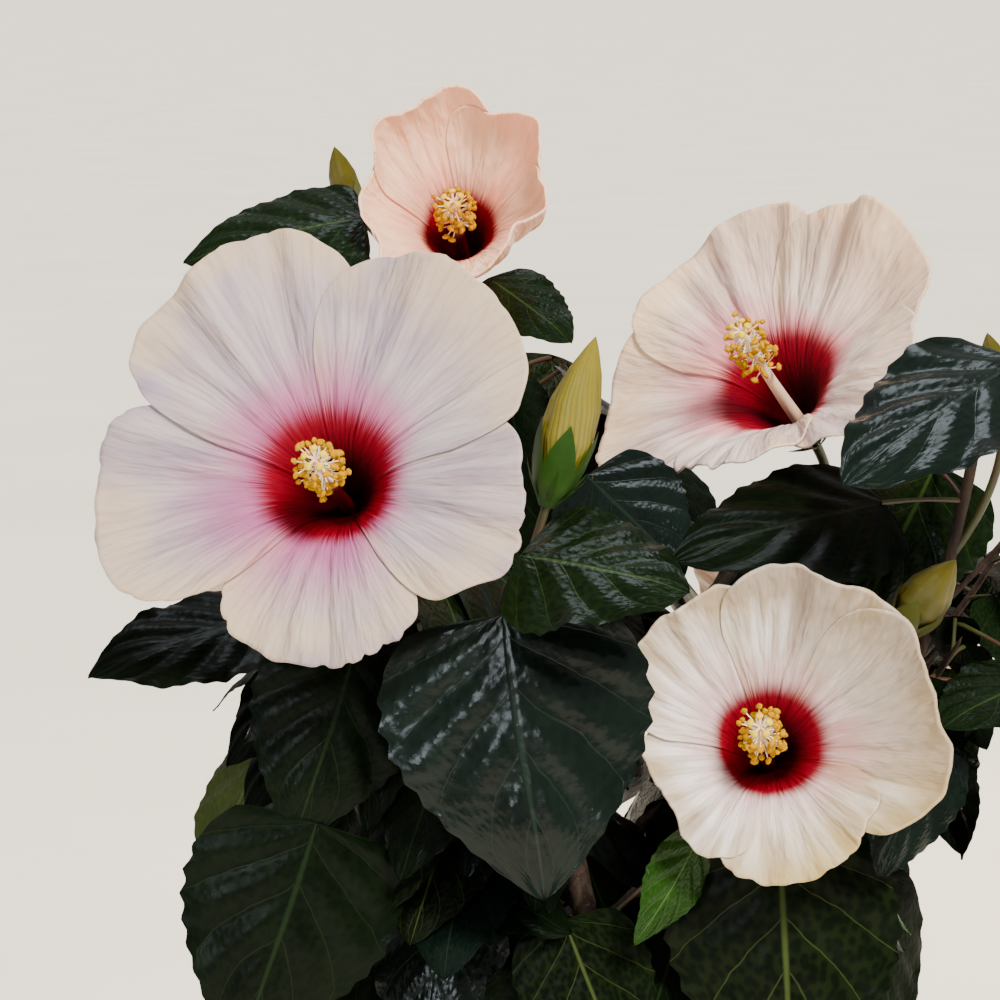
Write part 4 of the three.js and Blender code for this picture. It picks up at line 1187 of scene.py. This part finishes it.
def leaf_blade(leaf, shape, teeth, quilt, draws, finish):
    """A leaf's blade: its toothed outline, the swelling between its ribs and its waving edges."""
    across, even, faces = shape
    along = mix(even, 0.5 - 0.5 * np.cos(math.pi * even), 0.6)
    long, phase, wave = leaf["long"], draws.uniform(0, 6.28), leaf.get("wave", 0.9)
    count = 11 if leaf.get("shown") else 8
    tooth = 1 - np.abs(2 * np.mod(along**1.1 * count, 1) ** 1.4 - 1)
    rim = np.abs(across) ** 4
    half = half_width(leaf, along)
    half = half * (1 + teeth * rim * (tooth - 0.6) * eased(along, 0.12, 0.35))
    points = leaf_points(leaf, along, across, half)
    course = RIBS * along**0.8 - RIB_LEAN * np.abs(across) ** 0.85
    swell = np.sin(math.pi * np.mod(course + 0.5, 1)) ** 1.4 * eased(np.abs(across), 0, 0.25)
    fade = np.sin(math.pi * np.clip(along, 0, 1)) ** 0.6
    lift = quilt / MM * (long / 60) * (swell * 2.0 - 0.8) * fade
    swing = np.sin(9 * along + phase + 1.6 * np.sign(across))
    lift = lift + wave * 0.02 * long * np.abs(across) ** 3 * swing * fade
    lift = lift + wave * 0.008 * long * np.abs(across) ** 4 * np.sin(23 * along + 2 * phase) * fade
    lift = lift - 0.03 * long * eased(along, 0.75, 1) * (1 - 0.5 * np.abs(across))
    sway = 0.02 * long * np.sin(2.2 * along + phase)
    points = points + np.outer(lift, leaf["face"]) + np.outer(sway * fade * along, leaf["side"])
    return laid(points, faces, across, along, finish)


def leaf_stalk(leaf):
    root, foot = leaf["root"], leaf["foot"]
    rise = unit(foot - root)
    reach = float(np.linalg.norm(foot - root))
    bend = mix(root, foot, 0.55) + (UP - rise * rise[2]) * 0.05 * reach
    thin = 0.75 if leaf.get("young") else 0.92

    def radius(share):
        return thin * LEAF_STALK_RADIUS * (1 - 0.22 * np.sin(math.pi * share))

    return tube(quadratic(root, bend, foot + leaf["axis"] * 1.5), radius, 6, 7)


class HIBISCUS_OT_leaves(bpy.types.Operator):
    """Grows every leaf on its stalk, a piece to a shoot"""

    bl_idname = "hibiscus.leaves"
    bl_label = "Leaves"

    def execute(self, context):
        settings = context.scene.hibiscus_leaves
        dark, bright = tuple(settings.dark), tuple(settings.bright)
        looks = {
            "dark": (dark, (0.012, 0.024, 0.008), 0.45, 0.1, 0.15, 0.07),
            "mid": (mix_colour(dark, bright, 0.1), (0.03, 0.06, 0.012), 0.5, 0.04, 0.25, 0.12),
            "cool": ((0.0024, 0.006, 0.004), (0.014, 0.026, 0.018), 0.4, 0.0, 0.22, 0.22),
            "veined": ((0.002, 0.0045, 0.0016), (0.05, 0.07, 0.018), 0.6, 0.16, 0.15, 0.05),
            "olive": ((0.04, 0.058, 0.012), (0.11, 0.13, 0.04), 0.5, 0.12, 0.3, 0.14),
            "bright": (bright, (0.07, 0.15, 0.03), 0.5, -0.02, 0.3, 0.14),
        }
        finishes = []
        for tint in TINTS:
            blade, vein, veins, rougher, relief, gloss = looks[tint]
            rough = settings.roughness + rougher
            finishes.append(leaf_material(f"leaf_{tint}", blade, vein, veins, rough, relief, gloss))
        stalk_finish = plain_material("leaf_stalk", (0.03, 0.034, 0.01), (0.045, 0.014, 0.01), 60.0, 0.45)
        shapes = {kind: grid(*cells) for kind, cells in BLADE_GRIDS.items()}
        stalks = []
        for order, (name, shoot) in enumerate(plant()["shoots"].items()):
            draws = np.random.default_rng(LEAF_SEED + order)
            blades = []
            for leaf in shoot["leaves"]:
                chance = draws.uniform()
                tint = leaf.get("tint") or TINTS[int(np.searchsorted(TINT_CHANCES, chance))]
                kind = "shown" if leaf.get("shown") else "young" if leaf.get("young") else "ruled"
                finish = TINTS.index(tint)
                blades.append(leaf_blade(leaf, shapes[kind], settings.teeth, settings.quilt, draws, finish))
                stalks.append(leaf_stalk(leaf))
            piece(f"leaves_{name}", blades, finishes, [f"foliage_{name}"])
        piece("leaf_stalks", stalks, [stalk_finish])
        return {"FINISHED"}


# Blooms
# Each bloom's petals: their colour, edge, halo and its strength (glow), the heart's reach, the tone of the
# painted shade, how plain their veins are (lines), how far the heart feathers out, how plain the edge's
# tone is (rims), and the ways in which the halo, the edge's tone and the painted shade spread further, per
# metre. Then their form: how far each petal curls back, how much the bloom folds and ruffles at its rim, and
# how far each rim is notched
BLOOM_LOOKS = {
    "left": {
        "petal": (0.42, 0.36, 0.375), "edge": (0.5, 0.39, 0.27), "halo": (0.42, 0.025, 0.18), "glow": 0.6,
        "reach": 0.41, "shade": (0.25, 0.2, 0.27), "lines": 0.42, "feathers": 0.2, "rims": 0.9,
        "flush_way": (-5, 0, -10), "edge_way": (5, 0, 0), "shade_way": (5, 0, -6),
        "curls": (0, 1, 2, 5, 1), "fold": 2.4, "ruffle": 1.0, "notches": (0.2, 0.2, 0.3, 0.6, 0.4),
    },
    "front_right": {
        "petal": (0.76, 0.72, 0.71), "edge": (0.38, 0.25, 0.005), "halo": (0.5, 0.05, 0.1), "glow": 0.3,
        "reach": 0.42, "shade": (0.4, 0.33, 0.27), "lines": 0.24, "feathers": 0.06, "rims": 0.3,
        "flush_way": (0, 0, 0), "edge_way": (11, 0, -23), "shade_way": (9, 0, 8),
        "curls": (0, 0, 0, 5, 2), "fold": 1.2, "ruffle": 0.4, "notches": (0.1, 0.2, 0.2, 0.4, 0.2),
    },
    "upper_right": {
        "petal": (0.74, 0.61, 0.55), "edge": (0.72, 0.52, 0.3), "halo": (0.6, 0.05, 0.11), "glow": 0.6,
        "reach": 0.44, "shade": (0.38, 0.29, 0.3), "lines": 0.32, "feathers": 0.16, "rims": 0.8,
        "flush_way": (0, 0, -6), "edge_way": (4, 0, 8), "shade_way": (-7, 0, -15),
        "curls": (-3, 2, 5, 9, 7), "fold": 2.4, "ruffle": 0.5, "notches": (0.2, 0.2, 0.3, 0.3, 0.2),
    },
    "top": {
        "petal": (0.92, 0.55, 0.38), "edge": (0.92, 0.55, 0.37), "halo": (0.6, 0.1, 0.1), "glow": 0.4,
        "reach": 0.4, "shade": (0.84, 0.47, 0.31), "lines": 0.06, "feathers": 0.08, "rims": 0.4,
        "flush_way": (0, 0, 0), "edge_way": (0, 0, 0), "shade_way": (0, 0, 0),
        "curls": (0, 0, 0, 2, 0), "fold": 0.8, "ruffle": 0.1, "notches": (0.1,) * PETALS,
    },
    "back_left": {
        "petal": (0.5, 0.43, 0.44), "edge": (0.56, 0.44, 0.31), "halo": (0.48, 0.03, 0.2), "glow": 0.6,
        "reach": 0.43, "shade": (0.33, 0.27, 0.35), "lines": 0.36, "feathers": 0.2, "rims": 0.9,
        "flush_way": (3, 0, -9), "edge_way": (6, 0, 0), "shade_way": (0, 0, -5),
        "curls": (1, 3, 1, 4, 2), "fold": 2.2, "ruffle": 0.9, "notches": (0.2, 0.3, 0.2, 0.3, 0.4),
    },
    "back_right": {
        "petal": (0.64, 0.53, 0.47), "edge": (0.66, 0.53, 0.36), "halo": (0.55, 0.08, 0.14), "glow": 0.5,
        "reach": 0.42, "shade": (0.5, 0.38, 0.35), "lines": 0.24, "feathers": 0.14, "rims": 0.8,
        "flush_way": (0, 0, -5), "edge_way": (0, 0, 0), "shade_way": (0, 0, -5),
        "curls": (2, 1, 4, 2, 1), "fold": 2.0, "ruffle": 0.7, "notches": (0.3, 0.2, 0.2, 0.3, 0.2),
    },
}
PETAL_GRID = (68, 56)


def petal_part(bloom, petal, shape, looks):
    """One petal on its grid: overlapping its neighbours, folded along its veins and ruffled at its edge."""
    across, out, faces = shape
    key = 1.7 * petal + bloom["first"]
    off = np.abs(across)
    outline = 1 - bloom["corners"][petal] * off**3 - 0.18 * off**10 + 0.02 * np.cos(6 * across + 2 * petal)
    rim = 0.014 * np.sin(5 * across + key) + 0.008 * np.sin(11 * across + 2 * np.sin(3 * across + key))
    rim = rim + 0.005 * np.sin(23 * across + 3 * np.sin(5 * across + 2 * key))
    notch = looks["notches"][petal]
    nicks = 0.03 * notch * np.sin(13 * across + 2.2 * np.sin(5 * across + key)) ** 8
    reach = bloom["shares"][petal] * out * (outline + out**7 * (rim * (0.4 + notch) - nicks))
    aside = bloom["leans"][petal] + across * bloom["half"] * (0.9 + 0.1 * reach)
    place = petal + aside / PETAL_TURN
    turn = np.radians(bloom["first"] + PETAL_TURN * place)
    radius, height = petal_profile(bloom, place, reach)
    tilt = bloom_angle(bloom, place, reach)
    ray = np.outer(np.cos(turn), bloom["right"]) + np.outer(np.sin(turn), bloom["over"])
    face = -ray * np.cos(tilt)[:, None] + np.outer(np.sin(tilt), bloom["faces"])
    over = np.where(across > 0, bloom["laps"][petal], -bloom["laps"][petal - 1])
    lift = 1.2 * over * across**2 * reach + 2.2 * reach**3 * np.sin(7 * turn)
    folds = np.sin(5 * turn + 1) + 0.7 * np.sin(11 * turn + 2)
    folds = folds + 0.5 * np.sin(23 * turn + 2 * np.sin(3 * turn))
    edge = np.sin(16 * turn + 2 * np.sin(2 * turn)) + 0.35 * np.sin(37 * turn + 3 * np.sin(3 * turn))
    lift = lift + 0.7 * looks["fold"] * folds * eased(reach, 0.25, 0.8)
    lift = lift + looks["ruffle"] * edge * np.clip(reach, 0, 1.1) ** 6
    pleats = np.sin(PETAL_VEINS * math.pi * across + 2 * np.sin(2 * across + petal))
    lift = lift + 0.12 * pleats * eased(reach, 0.2, 0.5) * (1 - 0.6 * eased(reach, 0.6, 1))
    curl = round_bloom(looks["curls"], place) * (1 + 0.3 * np.sin(3 * turn))
    lift = lift - curl * eased(reach, 0.6, 1.05) ** 2
    points = bloom["seat"] + ray * radius[:, None] + np.outer(height, bloom["faces"]) + face * lift[:, None]
    even = mix(1, round_bloom(bloom["shares"], place), 0.8)
    return laid(points, faces, across, reach / even / PETAL_REACH, 0, out)


class HIBISCUS_OT_petals(bpy.types.Operator):
    """Shapes the five petals of each bloom"""

    bl_idname = "hibiscus.petals"
    bl_label = "Petals"

    def execute(self, context):
        settings = context.scene.hibiscus_blooms
        shape = grid(*PETAL_GRID)
        for bloom in plant()["blooms"]:
            name = bloom["name"]
            looks = BLOOM_LOOKS[name]
            finish = petal_material(f"petal_{name}", bloom["seat"], tuple(settings.heart), looks)
            parts = [petal_part(bloom, petal, shape, looks) for petal in range(PETALS)]
            made = piece(f"petals_{name}", parts, [finish], [f"bloom_{name}"])
            apply_modifier(made, "SOLIDIFY", thickness=settings.thickness, offset=0.0)
        return {"FINISHED"}


# The columns that are peach almost from the foot, the others being red there
PEACH_COLUMNS = ("upper_right", "back_left", "back_right")
COLUMN_RADII = (2.5, 1.25)
BRUSH = (0.66, 0.985)
THREAD_RADIUS = 0.22
STYLE_RADIUS = 0.4


def around(ways, turn):
    """A way square to where something faces, at its turn round it."""
    return ways["right"] * math.cos(turn) + ways["over"] * math.sin(turn)


def set_ball(shape, centre, along, sizes, finish):
    """A ball stretched along a way, at its place."""
    points, faces = shape
    side = unit(np.cross(along, UP + vector((0.01, 0.02, 0.0))))
    other = np.cross(along, side)
    made = centre + points @ (np.array([side, other, along]) * vector(sizes)[:, None])
    return laid(made, faces, np.zeros(len(points)), np.zeros(len(points)), finish)


class HIBISCUS_OT_columns(bpy.types.Operator):
    """Grows each bloom's column with its brush of anthers and its stigma"""

    bl_idname = "hibiscus.columns"
    bl_label = "Columns"

    def execute(self, context):
        settings = context.scene.hibiscus_blooms
        shape, small = ball(2), ball(1)
        columns, threads, anthers, stigmas = [], [], [], []
        for order, bloom in enumerate(plant()["blooms"]):
            draws = np.random.default_rng(COLUMN_SEED + order)
            seat, faces, reach = bloom["seat"], bloom["faces"], bloom["column"]
            sway = bloom["over"] * 1.2
            tip = seat + faces * reach * 0.93 + sway * 0.5
            line = quadratic(seat, seat + faces * reach * 0.5 - sway, tip)
            finish = 1 if bloom["name"] in PEACH_COLUMNS else 0
            columns.append(tube(line, tapering(*COLUMN_RADII), 16, 30, None, 0.05, finish=finish))
            for i in range(settings.anthers):
                share = mix(*BRUSH, (i + 0.5) / settings.anthers)
                turn = i * 2.4 + draws.uniform(-0.3, 0.3)
                way = unit(around(bloom, turn) + faces * draws.uniform(0.0, 0.6))
                root = line(share)
                long = draws.uniform(4.6, 7.6)
                end = root + way * long
                bend = mix(root, end, 0.6) + faces * draws.uniform(-0.8, 0.4)
                threads.append(tube(quadratic(root, bend, end), even(THREAD_RADIUS), 4, 4))
                lie = unit(np.cross(way, vector(draws.uniform(-1, 1, 3))))
                anthers.append(set_ball(small, end, lie, (0.8, 0.95, 1.5), 0))
                anthers.append(set_ball(small, end + way * 0.5 + lie * 0.35, lie, (0.66, 0.72, 1.3), 0))
            for i in range(5):
                turn = 2 * math.pi * i / 5 + 0.4
                way = unit(around(bloom, turn) + faces * 1.1)
                root = line(0.98)
                end = root + way * 4.6
                style = quadratic(root, root + faces * 3, end)
                threads.append(tube(style, even(STYLE_RADIUS), 5, 5, finish=1))
                stigmas.append(set_ball(shape, end, way, (1.3, 1.3, 0.8), 0))
        heart = tuple(settings.heart)
        red = column_material("column_red", dimmed(heart, 0.3), 0.5, 0.9)
        peach = column_material("column_peach", heart, 0.02, 0.18)
        pollen = tuple(settings.pollen)
        thread = plain_material("filament", (0.86, 0.8, 0.6), (0.84, 0.7, 0.4), 200.0, 0.5, 0.1)
        pale = plain_material("style", (0.86, 0.62, 0.4), (0.84, 0.5, 0.3), 200.0, 0.5, 0.1)
        deeper = mix_colour(pollen, (0.34, 0.13, 0.0), 0.5)
        grain = plain_material("anther", pollen, deeper, 700.0, 0.85, 0.9, 0.0004, Specular_IOR_Level=0.0)
        pad = plain_material("stigma", (0.76, 0.56, 0.01), (0.7, 0.42, 0.0), 900.0, 0.7, 0.9, 0.0003)
        piece("columns", columns, [red, peach])
        piece("filaments", threads, [thread, pale])
        piece("anthers", anthers, [grain])
        piece("stigmas", stigmas, [pad])
        return {"FINISHED"}


def cup(seat, ways, radii, long, lobes, finish):
    """A cup round a line, with pointed lobes down to the middle of its wall."""
    across, along, quads = grid(40, 14)
    angle = across * math.pi
    lobe = 1 - np.abs(np.mod(angle / (2 * math.pi) * lobes, 1) * 2 - 1)
    share = along * (1 - 0.5 * (1 - lobe**0.8))
    radius = np.interp(share, np.linspace(0, 1, len(radii)), radii)
    radius = radius + 0.25 * np.cos(lobes * angle) * along
    return laid(ringed(seat, ways, share * long, angle, radius), quads, across, along, finish)


def ringed(seat, ways, height, angle, radius):
    """Points round a line from a seat, each at its height, angle and radius."""
    centres = seat + np.outer(height, ways["faces"])
    aside = np.outer(np.cos(angle) * radius, ways["right"])
    return centres + aside + np.outer(np.sin(angle) * radius, ways["over"])


def calyx_part(bloom):
    """A bloom's calyx: a round foot, and five pointed lobes that lie on the petals' undersides."""
    across, along, quads = grid(60, 18)
    turn = across * math.pi
    lobe = 1 - np.abs(np.mod(across * 2.5 + 0.5, 1) * 2 - 1)
    course = along * (1 - 0.45 * (1 - lobe**0.8)) * 24 - 4
    place = (np.degrees(turn) - bloom["first"]) / PETAL_TURN
    reach = np.clip(course, 0, None) / bloom["long"]
    radius, height = petal_profile(bloom, place, reach)
    tilt = bloom_angle(bloom, place, reach)
    clear = 0.8 + 0.07 * np.clip(course, 0, None)
    foot = 1 - np.clip(-course / 4, 0, 1) ** 2
    radius = np.where(course < 0, 1.8 + (1.2 + clear) * np.sqrt(foot), radius + clear * np.cos(tilt))
    height = np.where(course < 0, 2 + course * 1.5, height - clear * np.sin(tilt))
    return laid(ringed(bloom["seat"], bloom, height, turn, radius), quads, across, along)


def square_ways(faces):
    right = unit(np.cross(UP + vector((0.01, 0.0, 0.0)), faces))
    return {"faces": faces, "right": right, "over": np.cross(faces, right)}


def bract_ring(foot, ways, count, reach, spread, long, wide):
    """The slim bracts that stand round a calyx."""
    bracts = []
    across, along, quads = grid(4, 12)
    for i in range(count):
        out = around(ways, 2 * math.pi * i / count)
        axis = unit(out * spread + ways["faces"])
        bract = make_leaf(foot, foot + out * reach, axis, out - ways["faces"] * 0.5, long, wide)
        bracts.append(laid(leaf_points(bract, along, across, half_width(bract, along)), quads, across, along))
    return bracts


# A furled bud's outline: shares of its length, and its radius there as a share of its half width
BUD_PLACES = (0, 0.15, 0.4, 0.6, 0.8, 0.93, 1)
BUD_OUTLINE = (0.25, 0.74, 0.96, 0.88, 0.56, 0.24, 0.02)
BUD_CUP = (0.26, 0.72, 0.92, 1.02, 1.06)
BUD_STALK_RADIUS = 1.4
BUD_KINDS = ("cream", "olive")


def furled_bud(foot, ways, span, wide, kind):
    """A bud's petals, wound round each other."""
    across, along, quads = grid(40, 40)
    angle = across * math.pi
    ridge = np.abs(np.sin(2.5 * angle + 2.6 * along)) ** 0.4
    body = np.interp(along, BUD_PLACES, BUD_OUTLINE)
    radius = wide / 2 * body * (0.84 + 0.18 * ridge * eased(along, 0.15, 0.4))
    return laid(ringed(foot, ways, along * span, angle, radius), quads, across, along, kind)


def bloom_stalk_radius(share):
    return BLOOM_STALK_RADIUS * (1 + 0.25 * share**6)


class HIBISCUS_OT_calyces(bpy.types.Operator):
    """Grows the stalk and calyx of each bloom, and the buds"""

    bl_idname = "hibiscus.calyces"
    bl_label = "Calyces and buds"

    def execute(self, context):
        grown = plant()
        cups, stalks, furled = [], [], []
        for bloom in grown["blooms"]:
            seat, faces = bloom["seat"], bloom["faces"]
            stem = grown["shoots"][bloom["name"]]["stem"]
            onward = tangent(stem, 1)
            start = stem(1) + onward * GAP
            reach = float(np.linalg.norm(seat - start)) / 3
            line = cubic(start, start + onward * reach, seat - faces * reach, seat)
            stalks.append(tube(line, bloom_stalk_radius, 12, 40))
            cups.append(calyx_part(bloom))
            cups.extend(bract_ring(seat - faces * 4, bloom, 7, 2.2, 0.9, 13, 2.6))
        for name, foot, point, wide, tone in BUDS:
            foot, point = vector(foot), vector(point)
            faces = unit(point - foot)
            ways = square_ways(faces)
            span = float(np.linalg.norm(point - foot))
            stem = grown["shoots"][name]["stem"]
            root = stem(nearest_share(stem, foot, 0.75))
            bend = foot - faces * 0.45 * float(np.linalg.norm(foot - root))
            stalks.append(tube(quadratic(root, bend, foot + faces * 2), even(BUD_STALK_RADIUS), 10, 20))
            kind = BUD_KINDS.index(tone)
            furled.append(furled_bud(foot, ways, span, wide, kind))
            cups.append(cup(foot, ways, np.array(BUD_CUP) * wide / 2, span * 0.5, 5, kind))
            cups.extend(bract_ring(foot, ways, 6, 1.6, 0.8, span * 0.3, 1.8))
        green = plain_material(
            "calyx_green", (0.008, 0.034, 0.001), (0.016, 0.048, 0.002), 90.0, 0.5, Specular_IOR_Level=0.2
        )
        stalk = plain_material("bloom_stalk", (0.02, 0.03, 0.006), (0.035, 0.014, 0.007), 70.0, 0.45)
        cream = furled_material("furled_cream", (0.17, 0.135, 0.012), (0.065, 0.075, 0.003))
        olive = plain_material("furled_olive", (0.066, 0.052, 0.0), (0.045, 0.04, 0.001), 60.0, 0.5, 0.2)
        sepal = plain_material("olive_calyx", (0.035, 0.05, 0.004), (0.06, 0.06, 0.006), 80.0, 0.5)
        piece("calyces", cups, [green, sepal])
        piece("bloom_stalks", stalks, [stalk])
        piece("furled_buds", furled, [cream, olive])
        return {"FINISHED"}


# Stage, in metres: where the lights and the camera stand, and what they look at
COOL_LIGHT = (0.84, 0.93, 1.0)
LIGHTS_TARGET = (0, 0, 0.36)
CAMERA_PLACE = (-0.03, -1.2193, 0.5531)
CAMERA_TARGET = (-0.03, -0.13, 0.4)
CAMERA_LENS = 134.2


def aimed(where, target):
    """The turn that looks from a place to a target."""
    return (Vector(target) - Vector(where)).to_track_quat("-Z", "Y").to_euler()


class HIBISCUS_OT_stage(bpy.types.Operator):
    """Sets the floor, the lights and the camera"""

    bl_idname = "hibiscus.stage"
    bl_label = "Stage"

    def execute(self, context):
        settings = context.scene.hibiscus_stage
        deselect()
        bpy.ops.mesh.primitive_plane_add(size=500, location=(0, 0, 0))
        floor = context.object
        floor.name = "floor"
        material, shader = new_material("pale_floor", 0.7)
        nodes = Nodes(material)
        cloud = nodes.noise(nodes.object_place(), 3.0, 3.0)
        tone = tuple(settings.floor)
        colour = nodes.blend(nodes.ramp(cloud, 0.3, 0.7), tone, dimmed(tone, 0.95))
        nodes.set(shader.inputs["Base Color"], colour)
        floor.data.materials.append(material)
        lights = [
            ("daylight", "SUN", (0.8, -1.7, 2.1), settings.day, (1.0, 0.95, 0.88)),
            ("window", "AREA", (-0.6, -1.85, 1.12), settings.window, COOL_LIGHT),
            ("skylight", "AREA", (-0.1, 0.35, 1.7), settings.window * 0.5, COOL_LIGHT),
            ("warm_back", "AREA", (0.9, 1.3, 0.9), settings.warm, (1.0, 0.8, 0.55)),
        ]
        for name, kind, where, power, colour in lights:
            bpy.ops.object.light_add(type=kind, location=where, rotation=aimed(where, LIGHTS_TARGET))
            light = context.object
            light.name = name
            light.visible_glossy = name in ("window", "skylight")
            if kind == "SUN":
                light.data.angle = math.radians(16)
            else:
                light.data.size = 0.5
            light.data.energy = power
            light.data.color = colour
        world = bpy.data.worlds.new("surroundings")
        world.use_nodes = True
        background = world.node_tree.nodes["Background"]
        background.inputs[0].default_value = (1.0, 0.98, 0.96, 1)
        background.inputs[1].default_value = settings.world
        context.scene.world = world
        bpy.ops.object.camera_add(location=CAMERA_PLACE, rotation=aimed(CAMERA_PLACE, CAMERA_TARGET))
        camera = context.object
        camera.data.sensor_width = 36
        camera.data.lens = CAMERA_LENS
        context.scene.camera = camera
        return {"FINISHED"}


class HIBISCUS_PT_panel(bpy.types.Panel):
    """Lists the pieces and what a user would change"""

    bl_idname = "HIBISCUS_PT_panel"
    bl_label = "Hibiscus"
    bl_space_type = "VIEW_3D"
    bl_region_type = "UI"
    bl_category = "Hibiscus"

    def draw(self, context):
        for name in SETTINGS:
            box = self.layout.box()
            group = getattr(context.scene, name)
            for key in group.__annotations__:
                box.prop(group, key)
        for operator in OPERATORS:
            self.layout.operator(operator.bl_idname)


SETTINGS = {
    "hibiscus_pot": PotSettings,
    "hibiscus_wood": WoodSettings,
    "hibiscus_leaves": LeafSettings,
    "hibiscus_blooms": BloomSettings,
    "hibiscus_stage": StageSettings,
}
OPERATORS = [
    HIBISCUS_OT_stage,
    HIBISCUS_OT_pot,
    HIBISCUS_OT_soil,
    HIBISCUS_OT_wood,
    HIBISCUS_OT_leaves,
    HIBISCUS_OT_petals,
    HIBISCUS_OT_columns,
    HIBISCUS_OT_calyces,
]


def register():
    for each in [*SETTINGS.values(), *OPERATORS, HIBISCUS_PT_panel]:
        bpy.utils.register_class(each)
    for name, group in SETTINGS.items():
        setattr(bpy.types.Scene, name, PointerProperty(type=group))


def unregister():
    for name in SETTINGS:
        delattr(bpy.types.Scene, name)
    for each in reversed([*SETTINGS.values(), *OPERATORS, HIBISCUS_PT_panel]):
        bpy.utils.unregister_class(each)


def main():
    register()
    for operator in OPERATORS:
        family, name = operator.bl_idname.split(".")
        getattr(getattr(bpy.ops, family), name)()


if __name__ == "__main__":
    main()
